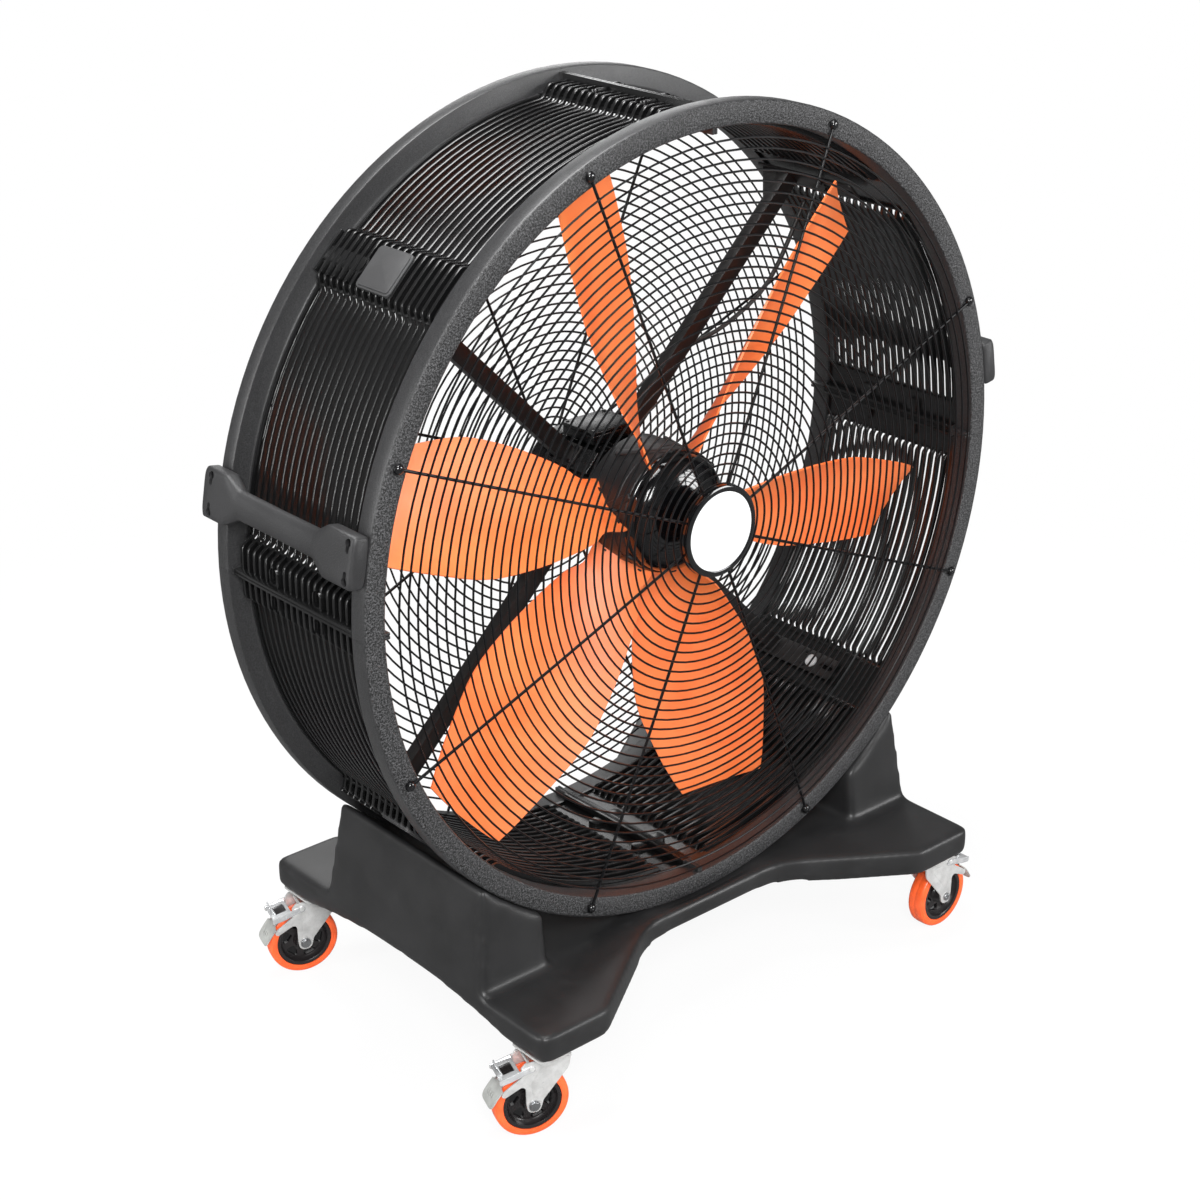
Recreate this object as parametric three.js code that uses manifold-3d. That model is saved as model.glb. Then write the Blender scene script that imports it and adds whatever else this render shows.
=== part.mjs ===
// Drum fan on a wheeled base: a ribbed drum of four moulded quadrants, a six-blade impeller on a
// finned motor, two wire guards, a cradle base and four braked swivel casters.
// Millimetres. +Z is up, the air leaves towards -Y, and the origin is on the floor under the middle.

import * as THREE from 'three';
import { mergeVertices } from 'three/addons/utils/BufferGeometryUtils.js';
import Module from 'manifold-3d';

const wasm = await Module();
wasm.setup();

// ---------------------------------------------------------------------------------------------
// Driving dimensions
// ---------------------------------------------------------------------------------------------

const GAP = 0.3; // seat clearance between pieces that touch
const RAD = Math.PI / 180;

// Drum
const DRUM_RADIUS = 675;
const DRUM_DEPTH = 383;
const DRUM_SEGMENTS = 60;
const RIM_FACE = 34; // radial width of each rim's face
const FRONT_BAND = 34.4;
const REAR_BAND = 29.9;
const RIM_WALL = 4;
const RIB_COUNT = 9;
const RIB_WIDTH = 4;
const RIB_THICK = 10;
const FLANGE_THICK = 6;
const FLANGE_RISE = 29; // height of the quadrants' bolted flanges above the ribs
const POCKET_SPACING = 111.5; // between the two bolt pockets on a flange
const POCKET_WIDTH = 22;
const POCKET_DEPTH = 24;
const POCKET_RISE = 15;

// Guards
const RING_COUNT = 6;
const RING_MARGIN = 21; // from the last ring to the rim
const WIRE = 5;
const SPOKE_THICK = 4;
const GUARD_DOME = 14;
const GUARD_HUB_WIDTH = 22;
const SPOKES = 8;
const SCREW_HEAD = 8;
const SCREW_RISE = 5;

// Badge
const BADGE_RADIUS = 77;
const BADGE_THICK = 12;
const BADGE_OVERLAP = 5; // how far the badge reaches past the guard's middle ring
const DISC_RADIUS = 66.5;
const DISC_THICK = 1.5;
const BADGE_LIP = 2;
const BADGE_SEGMENTS = 32;

// Impeller
const BLADES = 6;
const BLADE_PHASE = 46; // angle of the first blade's middle line
const BLADE_SETBACK = 123.5; // from the drum's front to the blades' pitch axis
const TIP_CLEARANCE = 25; // from the blades' leading tips to the ribs
const TIP_CUT = 16; // how much further out a tip's front corner lies than its rear corner
const HUB_RADIUS = 105;
const HUB_AHEAD = 37;
const HUB_BEHIND = 60;
const HUB_WALL = 10;
const HUB_WEB = 12;
const HUB_BOSS = 32;
const HUB_RECESS = 8;
const HUB_SEGMENTS = 24;
const CAP_INSET = 1;
const CAP_HEIGHT = 52;
const CAP_WALL = 3;
const BLADE_STATIONS = [
  { share: 0, chord: 92, pitch: 56 },
  { share: 0.11, chord: 128, pitch: 50 },
  { share: 0.25, chord: 168, pitch: 41 },
  { share: 0.42, chord: 206, pitch: 35 },
  { share: 0.6, chord: 226, pitch: 31 },
  { share: 0.78, chord: 202, pitch: 27 },
  { share: 0.92, chord: 174, pitch: 23 },
  { share: 1, chord: 152, pitch: 20 },
];
const BLADE_CELLS = 4;
const BLADE_CAMBER = 0.06;
const BLADE_THICK = 6;
const BLADE_EDGE = 0.35; // edge thickness as a share of the middle's

// Motor
const MOTOR_SEGMENTS = 24;
const SHAFT_RADIUS = 14;
const SHAFT_RUN = 0.08; // running clearance of the shaft in its bearings
const MOTOR_CORE = 74;
const FIN_HEIGHT = 9;
const FINS_PER_SIDE = 5;
const LUG_RISE = 14;
const LUG_HALF_ANGLE = 15;
const HUB_CLEARANCE = 12; // from the hub to the front end shield
const HOUSING_LENGTH = 112;
const HOUSING_WALL = 8;
const SHIELD_THICK = 14;
const SHIELD_CLEARANCE = 3; // round the shaft where it passes through a shield
const COWL_LENGTH = 36;
const COWL_WALL = 2.5;
const COWL_INLET = 26;
const BEARING_RADIUS = 31;
const BEARING_WIDTH = 12;
const AIR_GAP = 1;
const ROTOR_RADIUS = 42;
const WINDING_MARGIN = 20;
const ROTOR_MARGIN = 24;
const FAN_RADIUS = 62;
const FAN_SETBACK = 3; // from the rear end shield to the cooling fan
const FAN_PADDLES = 6;
const FAN_WEB = 3;
const FAN_DEPTH = 18;
const TERMINAL_WIDTH = 92;
const TERMINAL_DEPTH = 78;
const TERMINAL_HEIGHT = 24;
const TERMINAL_WALL = 3;
const CAPACITOR_RADIUS = 9;
const CAPACITOR_LENGTH = 56;
const GLAND_RADIUS = 8;
const GLAND_LENGTH = 12;
const LEAD_RADIUS = 4;

// Struts
const STRUT_SETBACK = 45; // from the housing's rear edge to the struts' middle plane
const STRUT_WIDTH = 30;
const STRUT_DEPTH = 22;
const STRUT_WALL = 3;
const BRACKET_WIDTH = 40;
const BRACKET_AHEAD = 155;
const BRACKET_BEHIND = 65;
const PAD_MARGIN = 2; // how far the drum's flat pad reaches past each side of a bracket
const PLATE_THICK = 4;
const FOOT_WIDTH = 40;
const FOOT_LENGTH = 60;

// Handles
const HANDLE_ANGLE = 10.5; // above the horizontal, on both sides
const HANDLE_REACH = 29; // how far a handle stands out from the rims
const HANDLE_BLOCK_HEIGHT = 80;
const HANDLE_FRONT_BLOCK = 72;
const HANDLE_REAR_BLOCK = 58;
const HANDLE_CHAMFER = 9;
const GRIP_THICK = 28;
const GRIP_HEIGHT = 46;
const GRIP_FLARE = 1.5;
const GRIP_FLARE_LENGTH = 26;
const GRIP_ROOT = 4; // how far the grip runs into each block
const GRIP_SIDES = 14;

// Casters
const TYRE_RADIUS = 62.5;
const TYRE_WIDTH = 32;
const TYRE_CHAMFER = 5;
const WHEEL_HEADROOM = 36; // from the top of the tyre to the top of the mounting plate
const WHEEL_SEGMENTS = 20;
const CASTER_TRAIL = 36;
const CORE_RADIUS = 49;
const CORE_RIM = 6;
const CORE_HUB = 15;
const CORE_WEB = 8;
const CORE_RUN = 0.2; // running clearance of the wheel on its axle
const HUB_OVERHANG = 3.3; // how far the wheel's hub stands past the tyre on each side
const AXLE_RADIUS = 6;
const AXLE_HEAD = 9.5;
const AXLE_HEAD_THICK = 4;
const FORK_WALL = 3.5;
const FORK_BACK = 24;
const FORK_FRONT = 34;
const FORK_EYE = 13;
const SIDE_PLAY = 0.4; // between the fork's legs and what turns between them
const RACEWAY_RADIUS = 27;
const RACEWAY_DEPTH = 12;
const CASTER_PLATE_LENGTH = 100;
const CASTER_PLATE_WIDTH = 78;
const CASTER_PLATE_THICK = 4;
const CASTER_BOLT_INSET = 12;
const CASTER_BOLT_RADIUS = 4.5;
const PEDAL_PIVOT = { x: 40, drop: 27 };
const PEDAL_PIN = 2.5;
const PEDAL_BARREL = 5.5;
const PEDAL_WIDTH = 30;
const PEDAL_THICK = 3;
const CASTER_HEADINGS = { front_left: 160, rear_left: 163, front_right: 2, rear_right: 12 };

// Base
const BASE_HALF_WIDTH = 500;
const BASE_HALF_DEPTH = 367;
const BASE_THICK = 50;
const FOOT_INNER = 367; // where a foot's front edge turns towards the waist
const WAIST_HALF_WIDTH = 155;
const WAIST_MARGIN = 15; // from the towers' ends to the waist's edge
const ARCH_HALF = 272;
const ARCH_RISE = 29;
const CORNER_RADIUS = 26;
const WAIST_RADIUS = 60;
const BASE_WALL = 6;
const CRADLE_SINK = 11; // how deep the drum lies in the deck
const CRADLE_CLEARANCE = 0.5;
const TOWER_WIDTH = 143;
const TOWER_INSET = 2;
const TOWER_MARGIN = 18.5; // from the drum's rims to the towers' ends
const TOWER_RISE = 177;
const TOWER_SIDE_DRAFT = 24;
const TOWER_END_DRAFT = 18;
const ACCESS_WIDTH = 90;
const ACCESS_LENGTH = 200;
const CASTER_INSET_X = 57;
const CASTER_INSET_Y = 52;

// ---------------------------------------------------------------------------------------------
// Values that follow
// ---------------------------------------------------------------------------------------------

const FRONT = -DRUM_DEPTH / 2;
const BACK = DRUM_DEPTH / 2;
const RIM_INNER = DRUM_RADIUS - RIM_FACE;
const RIB_OUTER = RIM_INNER - 1;
const RIB_INNER = RIB_OUTER - RIB_THICK;
const EYELET_RADIUS = (RIM_INNER + DRUM_RADIUS) / 2;
const GUARD_HUB = BADGE_RADIUS - BADGE_OVERLAP;
const BLADE_Y = FRONT + BLADE_SETBACK;
const BLADE_TIP = RIB_INNER - TIP_CLEARANCE - TIP_CUT / 2;
const HUB_FRONT = BLADE_Y - HUB_AHEAD;
const HUB_BACK = BLADE_Y + HUB_BEHIND;
const HOUSING_FRONT = HUB_BACK + HUB_CLEARANCE + SHIELD_THICK;
const HOUSING_BACK = HOUSING_FRONT + HOUSING_LENGTH;
const LUG_RADIUS = MOTOR_CORE + LUG_RISE;
const STATOR_OUTER = MOTOR_CORE - HOUSING_WALL - GAP;
const COWL_FRONT = HOUSING_BACK + 2 * GAP + SHIELD_THICK;
const COWL_BACK = COWL_FRONT + COWL_LENGTH;
const TERMINAL_FLOOR = MOTOR_CORE + FIN_HEIGHT + GAP;
const TERMINAL_TOP = TERMINAL_FLOOR + TERMINAL_HEIGHT;
const TERMINAL_Y = (HOUSING_FRONT + HOUSING_BACK) / 2;
const STRUT_Y = HOUSING_BACK - STRUT_SETBACK;
const LEAD_Y = STRUT_Y + STRUT_DEPTH / 2 + 2 * LEAD_RADIUS; // behind the strut that the lead crosses
const PAD_HALF_ANGLE = Math.atan((BRACKET_WIDTH / 2 + PAD_MARGIN) / RIB_INNER) / RAD;
const BRACKET_FACE = RIB_INNER * Math.cos(PAD_HALF_ANGLE * RAD) - GAP;
const CASTER_HEIGHT = 2 * TYRE_RADIUS + WHEEL_HEADROOM;
const AXLE_DROP = CASTER_HEIGHT - TYRE_RADIUS;
const FORK_TOP = GAP + CASTER_PLATE_THICK + RACEWAY_DEPTH;
const LEG_INSIDE = TYRE_WIDTH / 2 + HUB_OVERHANG + SIDE_PLAY;
const LEG_OUTSIDE = LEG_INSIDE + FORK_WALL;
const DECK_HEIGHT = CASTER_HEIGHT + BASE_THICK;
const AXIS_HEIGHT = DECK_HEIGHT - CRADLE_SINK + CRADLE_CLEARANCE + DRUM_RADIUS;
const TOWER_OUTER = BASE_HALF_WIDTH - TOWER_INSET;
const TOWER_INNER = TOWER_OUTER - TOWER_WIDTH;
const TOWER_HALF_DEPTH = DRUM_DEPTH / 2 + TOWER_MARGIN;
const WAIST_HALF_DEPTH = TOWER_HALF_DEPTH + WAIST_MARGIN;

// ---------------------------------------------------------------------------------------------
// Solids
// ---------------------------------------------------------------------------------------------

function solid(geometry) {
  const bare = geometry.clone();
  bare.deleteAttribute('normal');
  bare.deleteAttribute('uv');
  const welded = mergeVertices(bare, 1e-3);
  const corners = welded.index.array;
  const faces = [];
  for (let i = 0; i < corners.length; i += 3) {
    const [a, b, c] = corners.slice(i, i + 3);
    if (a !== b && b !== c && c !== a) faces.push(a, b, c);
  }
  return new wasm.Manifold(new wasm.Mesh({
    numProp: 3,
    vertProperties: new Float32Array(welded.attributes.position.array),
    triVerts: new Uint32Array(faces),
  }));
}

function geometryOf(manifold) {
  const mesh = manifold.getMesh();
  const geometry = new THREE.BufferGeometry();
  geometry.setAttribute('position', new THREE.BufferAttribute(new Float32Array(mesh.vertProperties), 3));
  geometry.setIndex(new THREE.BufferAttribute(new Uint32Array(mesh.triVerts), 1));
  geometry.computeVertexNormals();
  return geometry;
}

function join(...pieces) {
  return geometryOf(pieces.map(solid).reduce((whole, part) => whole.add(part)));
}

function cut(body, ...tools) {
  return geometryOf(tools.map(solid).reduce((rest, tool) => rest.subtract(tool), solid(body)));
}

function keep(body, region) {
  return geometryOf(solid(body).intersect(solid(region)));
}

// A closed mesh from points and triangles, turned so that its faces point out.
function closedMesh(points, index) {
  const [a, b, c] = [new THREE.Vector3(), new THREE.Vector3(), new THREE.Vector3()];
  let volume = 0;
  for (let i = 0; i < index.length; i += 3) {
    a.fromArray(points, index[i] * 3);
    b.fromArray(points, index[i + 1] * 3);
    c.fromArray(points, index[i + 2] * 3);
    volume += a.dot(b.cross(c));
  }
  const geometry = new THREE.BufferGeometry();
  geometry.setAttribute('position', new THREE.Float32BufferAttribute(points, 3));
  geometry.setIndex(volume < 0 ? index.toReversed() : index);
  return geometry;
}

// A skin of cells, solid where isSolid(i, j) says so. place(i, j, side) gives each corner, with side
// 0 on one face of the skin and 1 on the other. A wrapped skin closes on itself in i.
function cellSkin(columns, rows, wrap, isSolid, place) {
  const lines = wrap ? columns : columns + 1;
  const points = [];
  const index = [];
  const id = (i, j, side) => ((i % lines) * (rows + 1) + j) * 2 + side;
  const quad = (a, b, c, d) => index.push(a, b, c, a, c, d);
  const filled = (i, j) => {
    if (j < 0 || j >= rows || (!wrap && (i < 0 || i >= columns))) return false;
    return isSolid((i + columns) % columns, j);
  };
  for (let i = 0; i < lines; i += 1) {
    for (let j = 0; j <= rows; j += 1) {
      points.push(...place(i, j, 0), ...place(i, j, 1));
    }
  }
  for (let i = 0; i < columns; i += 1) {
    for (let j = 0; j < rows; j += 1) {
      if (!filled(i, j)) continue;
      quad(id(i, j, 1), id(i + 1, j, 1), id(i + 1, j + 1, 1), id(i, j + 1, 1));
      quad(id(i, j, 0), id(i, j + 1, 0), id(i + 1, j + 1, 0), id(i + 1, j, 0));
      if (!filled(i - 1, j)) quad(id(i, j, 0), id(i, j, 1), id(i, j + 1, 1), id(i, j + 1, 0));
      if (!filled(i + 1, j)) {
        quad(id(i + 1, j, 0), id(i + 1, j + 1, 0), id(i + 1, j + 1, 1), id(i + 1, j, 1));
      }
      if (!filled(i, j - 1)) quad(id(i, j, 0), id(i + 1, j, 0), id(i + 1, j, 1), id(i, j, 1));
      if (!filled(i, j + 1)) {
        quad(id(i, j + 1, 0), id(i, j + 1, 1), id(i + 1, j + 1, 1), id(i + 1, j + 1, 0));
      }
    }
  }
  return closedMesh(points, index);
}

// Loops of points, each with the same count, skinned in order and closed by flat ends.
function skinLoops(loops) {
  const count = loops[0].length;
  const index = [];
  for (let step = 0; step < loops.length - 1; step += 1) {
    for (let k = 0; k < count; k += 1) {
      const a = step * count + k;
      const b = step * count + ((k + 1) % count);
      index.push(a, b, b + count, a, b + count, a + count);
    }
  }
  const last = (loops.length - 1) * count;
  for (let k = 1; k < count - 1; k += 1) {
    index.push(0, k + 1, k, last, last + k, last + k + 1);
  }
  return closedMesh(loops.flat(2), index);
}

// A (radius, y) profile turned about the Y axis.
function turned(profile, segments) {
  const outline = profile.map(([radius, y]) => new THREE.Vector2(radius, y));
  const lathe = new THREE.LatheGeometry(outline, segments);
  return closedMesh(Array.from(lathe.attributes.position.array), Array.from(lathe.index.array));
}

function ring(inner, outer, from, to, segments) {
  return turned([[inner, from], [outer, from], [outer, to], [inner, to], [inner, from]], segments);
}

function rod(radius, from, to, segments) {
  return turned([[0, from], [radius, from], [radius, to], [0, to]], segments);
}

// Radius of a hole with flat facets that clears what turns in it.
function boreFor(radius, clearance, segments) {
  return (radius + clearance) / Math.cos(Math.PI / segments);
}

function box(x0, x1, y0, y1, z0, z1) {
  const geometry = new THREE.BoxGeometry(x1 - x0, y1 - y0, z1 - z0);
  return geometry.translate((x0 + x1) / 2, (y0 + y1) / 2, (z0 + z1) / 2);
}

// An (x, z) outline with holes, extruded along Y.
function alongY(outline, from, to, holes = []) {
  const flat = (loop) => loop.map(([x, z]) => new THREE.Vector2(x, -z));
  const outer = flat(outline);
  const shape = new THREE.Shape(THREE.ShapeUtils.isClockWise(outer) ? outer.reverse() : outer);
  shape.holes.push(...holes.map((hole) => new THREE.Path(flat(hole))));
  const geometry = new THREE.ExtrudeGeometry(shape, { depth: to - from, bevelEnabled: false });
  return geometry.rotateX(-Math.PI / 2).translate(0, from, 0);
}

function circle(x, y, radius, segments) {
  return Array.from({ length: segments }, (_, k) => {
    const angle = (2 * Math.PI * k) / segments;
    return [x + radius * Math.cos(angle), y + radius * Math.sin(angle)];
  });
}

// An outline with each corner rounded: corners are [x, y, radius].
function rounded(corners, steps) {
  return corners.flatMap(([x, y, radius], k) => {
    const here = new THREE.Vector2(x, y);
    const before = new THREE.Vector2(...corners.at(k - 1)).sub(here);
    const after = new THREE.Vector2(...corners[(k + 1) % corners.length]).sub(here);
    const half = Math.acos(before.dot(after) / before.length() / after.length()) / 2;
    const reach = radius / Math.tan(half);
    const start = here.clone().add(before.setLength(reach));
    const end = here.clone().add(after.setLength(reach));
    return new THREE.QuadraticBezierCurve(start, here, end).getPoints(steps);
  });
}

// ---------------------------------------------------------------------------------------------
// Object
// ---------------------------------------------------------------------------------------------

const fan = new THREE.Group();
const drum = new THREE.Group();
drum.position.z = AXIS_HEIGHT;
fan.add(drum);

const finishes = {
  drumPlastic: { color: 0x1b1b1c, roughness: 0.55, metalness: 0 },
  basePlastic: { color: 0x232324, roughness: 0.6, metalness: 0 },
  handlePlastic: { color: 0x262627, roughness: 0.65, metalness: 0 },
  glossBlack: { color: 0x0a0a0b, roughness: 0.12, metalness: 0 },
  wire: { color: 0x101011, roughness: 0.4, metalness: 0.1 },
  badgeWhite: { color: 0xf4f4f4, roughness: 0.35, metalness: 0 },
  bladeOrange: { color: 0xf06a20, roughness: 0.4, metalness: 0 },
  hubGrey: { color: 0x2c2c2e, roughness: 0.5, metalness: 0.2 },
  motorPaint: { color: 0x141415, roughness: 0.45, metalness: 0.3 },
  strutPaint: { color: 0x161617, roughness: 0.5, metalness: 0.2 },
  steel: { color: 0xb4b6b8, roughness: 0.35, metalness: 0.9 },
  zinc: { color: 0xc9cccd, roughness: 0.3, metalness: 0.9 },
  copper: { color: 0x9a5a32, roughness: 0.5, metalness: 0.6 },
  tyreOrange: { color: 0xf2591c, roughness: 0.45, metalness: 0 },
  coreBlack: { color: 0x0e0e0f, roughness: 0.35, metalness: 0 },
  cableBlack: { color: 0x0c0c0c, roughness: 0.6, metalness: 0 },
};

function piece(name, geometry, finish, parent = drum) {
  const mesh = new THREE.Mesh(geometry, new THREE.MeshStandardMaterial(finishes[finish]));
  mesh.geometry.computeVertexNormals();
  mesh.name = name;
  parent.add(mesh);
  return mesh;
}

// Drum quadrants --------------------------------------------------------------------------------

// Ribs joined by a solid strip at each end and by the flat pad that a strut is bolted to.
function ribLattice() {
  const end = (FLANGE_THICK / RIB_OUTER) / RAD;
  const angles = [0, end, 15, 29, 45 - PAD_HALF_ANGLE, 45 + PAD_HALF_ANGLE, 61, 75, 90 - end, 90];
  const strips = [0, 4, angles.length - 2];
  const from = FRONT + FRONT_BAND;
  const pitch = (BACK - REAR_BAND - from) / RIB_COUNT;
  const lines = [FRONT + RIM_WALL / 2];
  for (let k = 0; k < RIB_COUNT; k += 1) {
    const middle = from + pitch * (k + 0.5);
    lines.push(middle - RIB_WIDTH / 2, middle + RIB_WIDTH / 2);
  }
  lines.push(BACK - RIM_WALL / 2);
  return cellSkin(angles.length - 1, lines.length - 1, false,
    (i, j) => strips.includes(i) || j % 2 === 1,
    (i, j, side) => {
      const radius = side ? RIB_OUTER : RIB_INNER;
      const angle = angles[i] * RAD;
      return [radius * Math.cos(angle), lines[j], radius * Math.sin(angle)];
    });
}

// A rim of channel section whose face lies at y and whose bands run inwards from it.
function rim(y, band, inwards) {
  const face = y + inwards * RIM_WALL;
  const edge = y + inwards * band;
  const wall = RIM_INNER - RIM_WALL;
  return turned([
    [wall, y], [DRUM_RADIUS, y], [DRUM_RADIUS, edge], [DRUM_RADIUS - RIM_WALL, edge],
    [DRUM_RADIUS - RIM_WALL, face], [RIM_INNER, face], [RIM_INNER, edge], [wall, edge], [wall, y],
  ], DRUM_SEGMENTS);
}

// The raised flange along each end of a quadrant, with its two bolt pockets.
function flangeBars() {
  const from = RIB_OUTER - 1;
  const reach = DRUM_DEPTH / 2 - RIM_WALL / 2;
  const bars = [[from, RIB_OUTER + FLANGE_RISE, -reach, reach, 0, FLANGE_THICK]];
  for (const side of [-1, 1]) {
    const y = (side * POCKET_SPACING - POCKET_WIDTH) / 2;
    bars.push([from, RIB_OUTER + POCKET_RISE, y, y + POCKET_WIDTH, 0, POCKET_DEPTH]);
  }
  return bars.flatMap(([u0, u1, y0, y1, v0, v1]) => [
    box(u0, u1, y0, y1, v0, v1),
    box(v0, v1, y0, y1, u0, u1),
  ]);
}

function quadrant() {
  const reach = 2 * DRUM_RADIUS;
  const whole = join(ribLattice(), rim(FRONT, FRONT_BAND, 1), rim(BACK, REAR_BAND, -1), ...flangeBars());
  return keep(whole, box(GAP / 2, reach, -reach, reach, GAP / 2, reach));
}

['drum_upper_right', 'drum_upper_left', 'drum_lower_left', 'drum_lower_right'].forEach((name, k) => {
  piece(name, quadrant(), 'drumPlastic').rotation.y = (-Math.PI / 2) * k;
});

// Guards ----------------------------------------------------------------------------------------

// How far a guard stands forward of its rim at a given radius: a shallow dome, flat on the rim.
function domeAt(radius) {
  const share = Math.min(radius / RIM_INNER, 1);
  return GUARD_DOME * (1 - share * share);
}

// A welded wire guard facing -Y from the plane y = 0, with its spokes' ends screwed to the rim.
function guard() {
  const radii = [GUARD_HUB - GUARD_HUB_WIDTH, GUARD_HUB];
  const pitch = (RIM_INNER - RING_MARGIN - GUARD_HUB) / RING_COUNT;
  for (let k = 1; k <= RING_COUNT; k += 1) {
    radii.push(GUARD_HUB + pitch * k - WIRE / 2, GUARD_HUB + pitch * k + WIRE / 2);
  }
  radii.push(EYELET_RADIUS + SCREW_HEAD);
  const spokePitch = 360 / SPOKES;
  const place = (i, j, side) => {
    const radius = radii[j];
    const half = Math.asin(WIRE / 2 / Math.max(radius, GUARD_HUB)) / RAD;
    const offset = [-half, half, spokePitch / 2][i % 3];
    const angle = (spokePitch * (Math.floor(i / 3) + 0.5) + offset) * RAD;
    const y = -GAP - domeAt(radius) - side * SPOKE_THICK;
    return [radius * Math.cos(angle), y, radius * Math.sin(angle)];
  };
  const isWire = (i, j) => i % 3 === 0 || j % 2 === 0;
  const wires = cellSkin(SPOKES * 3, radii.length - 1, true, isWire, place);
  const heads = [];
  for (let k = 0; k < SPOKES; k += 1) {
    const angle = (k + 0.5) * spokePitch * RAD;
    const head = rod(SCREW_HEAD, -GAP - SPOKE_THICK - SCREW_RISE, -2 * GAP, 8);
    heads.push(head.translate(EYELET_RADIUS * Math.cos(angle), 0, EYELET_RADIUS * Math.sin(angle)));
  }
  return join(wires, ...heads);
}

piece('front_guard', guard(), 'wire').position.y = FRONT;
const rearGuard = piece('rear_guard', guard(), 'wire');
rearGuard.position.y = BACK;
rearGuard.rotation.z = Math.PI;

// Badge -----------------------------------------------------------------------------------------

const badgeBack = FRONT - 2 * GAP - GUARD_DOME - SPOKE_THICK;
const badgeFront = badgeBack - BADGE_THICK;
const discSeat = badgeFront + BADGE_LIP;
piece('badge_plate', turned([
  [0, badgeBack], [BADGE_RADIUS, badgeBack], [BADGE_RADIUS, badgeFront],
  [DISC_RADIUS + GAP, badgeFront], [DISC_RADIUS + GAP, discSeat], [0, discSeat],
], BADGE_SEGMENTS), 'glossBlack');
const discBack = discSeat - GAP;
piece('badge_disc', rod(DISC_RADIUS, discBack - DISC_THICK, discBack, BADGE_SEGMENTS), 'badgeWhite');

// Impeller --------------------------------------------------------------------------------------

const hubBore = boreFor(SHAFT_RADIUS, GAP / 2, HUB_SEGMENTS);
const hubInside = HUB_RADIUS - HUB_WALL;
piece('hub', turned([
  [hubBore, HUB_FRONT + HUB_RECESS], [HUB_BOSS, HUB_FRONT + HUB_RECESS],
  [HUB_BOSS, BLADE_Y - HUB_WEB / 2],
  [hubInside, BLADE_Y - HUB_WEB / 2], [hubInside, HUB_FRONT], [HUB_RADIUS, HUB_FRONT],
  [HUB_RADIUS, HUB_BACK], [hubInside, HUB_BACK], [hubInside, BLADE_Y + HUB_WEB / 2],
  [HUB_BOSS, BLADE_Y + HUB_WEB / 2], [HUB_BOSS, HUB_BACK], [hubBore, HUB_BACK],
  [hubBore, HUB_FRONT + HUB_RECESS],
], HUB_SEGMENTS), 'hubGrey');

// Points of a quarter ellipse from the axis at its front to its edge at the back.
function domeProfile(radius, height, back) {
  const steps = 4;
  return Array.from({ length: steps + 1 }, (_, k) => {
    const angle = (Math.PI / 2) * (k / steps);
    return [radius * Math.sin(angle), back - height * Math.cos(angle)];
  });
}

const capRadius = HUB_RADIUS - CAP_INSET;
piece('hub_cap', turned([
  ...domeProfile(capRadius, CAP_HEIGHT, HUB_FRONT - GAP),
  ...domeProfile(capRadius - CAP_WALL, CAP_HEIGHT - CAP_WALL, HUB_FRONT - GAP).reverse(),
], HUB_SEGMENTS), 'glossBlack');

// One blade along +X: chord and pitch change from root to tip, and the tip is cut at a slant.
function blade() {
  const root = HUB_RADIUS + 2 * GAP;
  const last = BLADE_STATIONS.length - 1;
  return cellSkin(last, BLADE_CELLS, false, () => true, (i, j, side) => {
    const { share, chord, pitch } = BLADE_STATIONS[i];
    const along = j / BLADE_CELLS - 0.5;
    const bulge = 1 - 4 * along * along;
    const half = (BLADE_THICK / 2) * (BLADE_EDGE + (1 - BLADE_EDGE) * bulge);
    const lift = BLADE_CAMBER * chord * bulge + (side ? half : -half);
    const sine = Math.sin(pitch * RAD);
    const cosine = Math.cos(pitch * RAD);
    const radius = root + share * (BLADE_TIP - root) + (i === last ? TIP_CUT * along : 0);
    const angle = (along * chord * cosine + lift * sine) / radius;
    const y = BLADE_Y - along * chord * sine + lift * cosine;
    return [radius * Math.cos(angle), y, radius * Math.sin(angle)];
  });
}

for (let k = 0; k < BLADES; k += 1) {
  piece(`blade_${k + 1}`, blade(), 'bladeOrange').rotation.y = -(BLADE_PHASE + (360 / BLADES) * k) * RAD;
}

// Motor -----------------------------------------------------------------------------------------

// Finned section: fins on four sides, with flat lugs for the struts on the diagonals.
function housingOutline() {
  const points = [];
  const lugHalf = LUG_RADIUS * Math.tan(LUG_HALF_ANGLE * RAD);
  const step = (90 - 2 * LUG_HALF_ANGLE) / FINS_PER_SIDE;
  for (let side = 0; side < 4; side += 1) {
    const diagonal = 45 + 90 * side;
    for (const offset of [-lugHalf, lugHalf]) {
      points.push([
        LUG_RADIUS * Math.cos(diagonal * RAD) - offset * Math.sin(diagonal * RAD),
        LUG_RADIUS * Math.sin(diagonal * RAD) + offset * Math.cos(diagonal * RAD),
      ]);
    }
    for (let fin = 0; fin < FINS_PER_SIDE; fin += 1) {
      const middle = diagonal + LUG_HALF_ANGLE + step * (fin + 0.5);
      for (const [rise, offset] of [[0, -0.3], [FIN_HEIGHT, -0.2], [FIN_HEIGHT, 0.2], [0, 0.3]]) {
        const angle = (middle + offset * step) * RAD;
        points.push([(MOTOR_CORE + rise) * Math.cos(angle), (MOTOR_CORE + rise) * Math.sin(angle)]);
      }
    }
  }
  return points;
}

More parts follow.
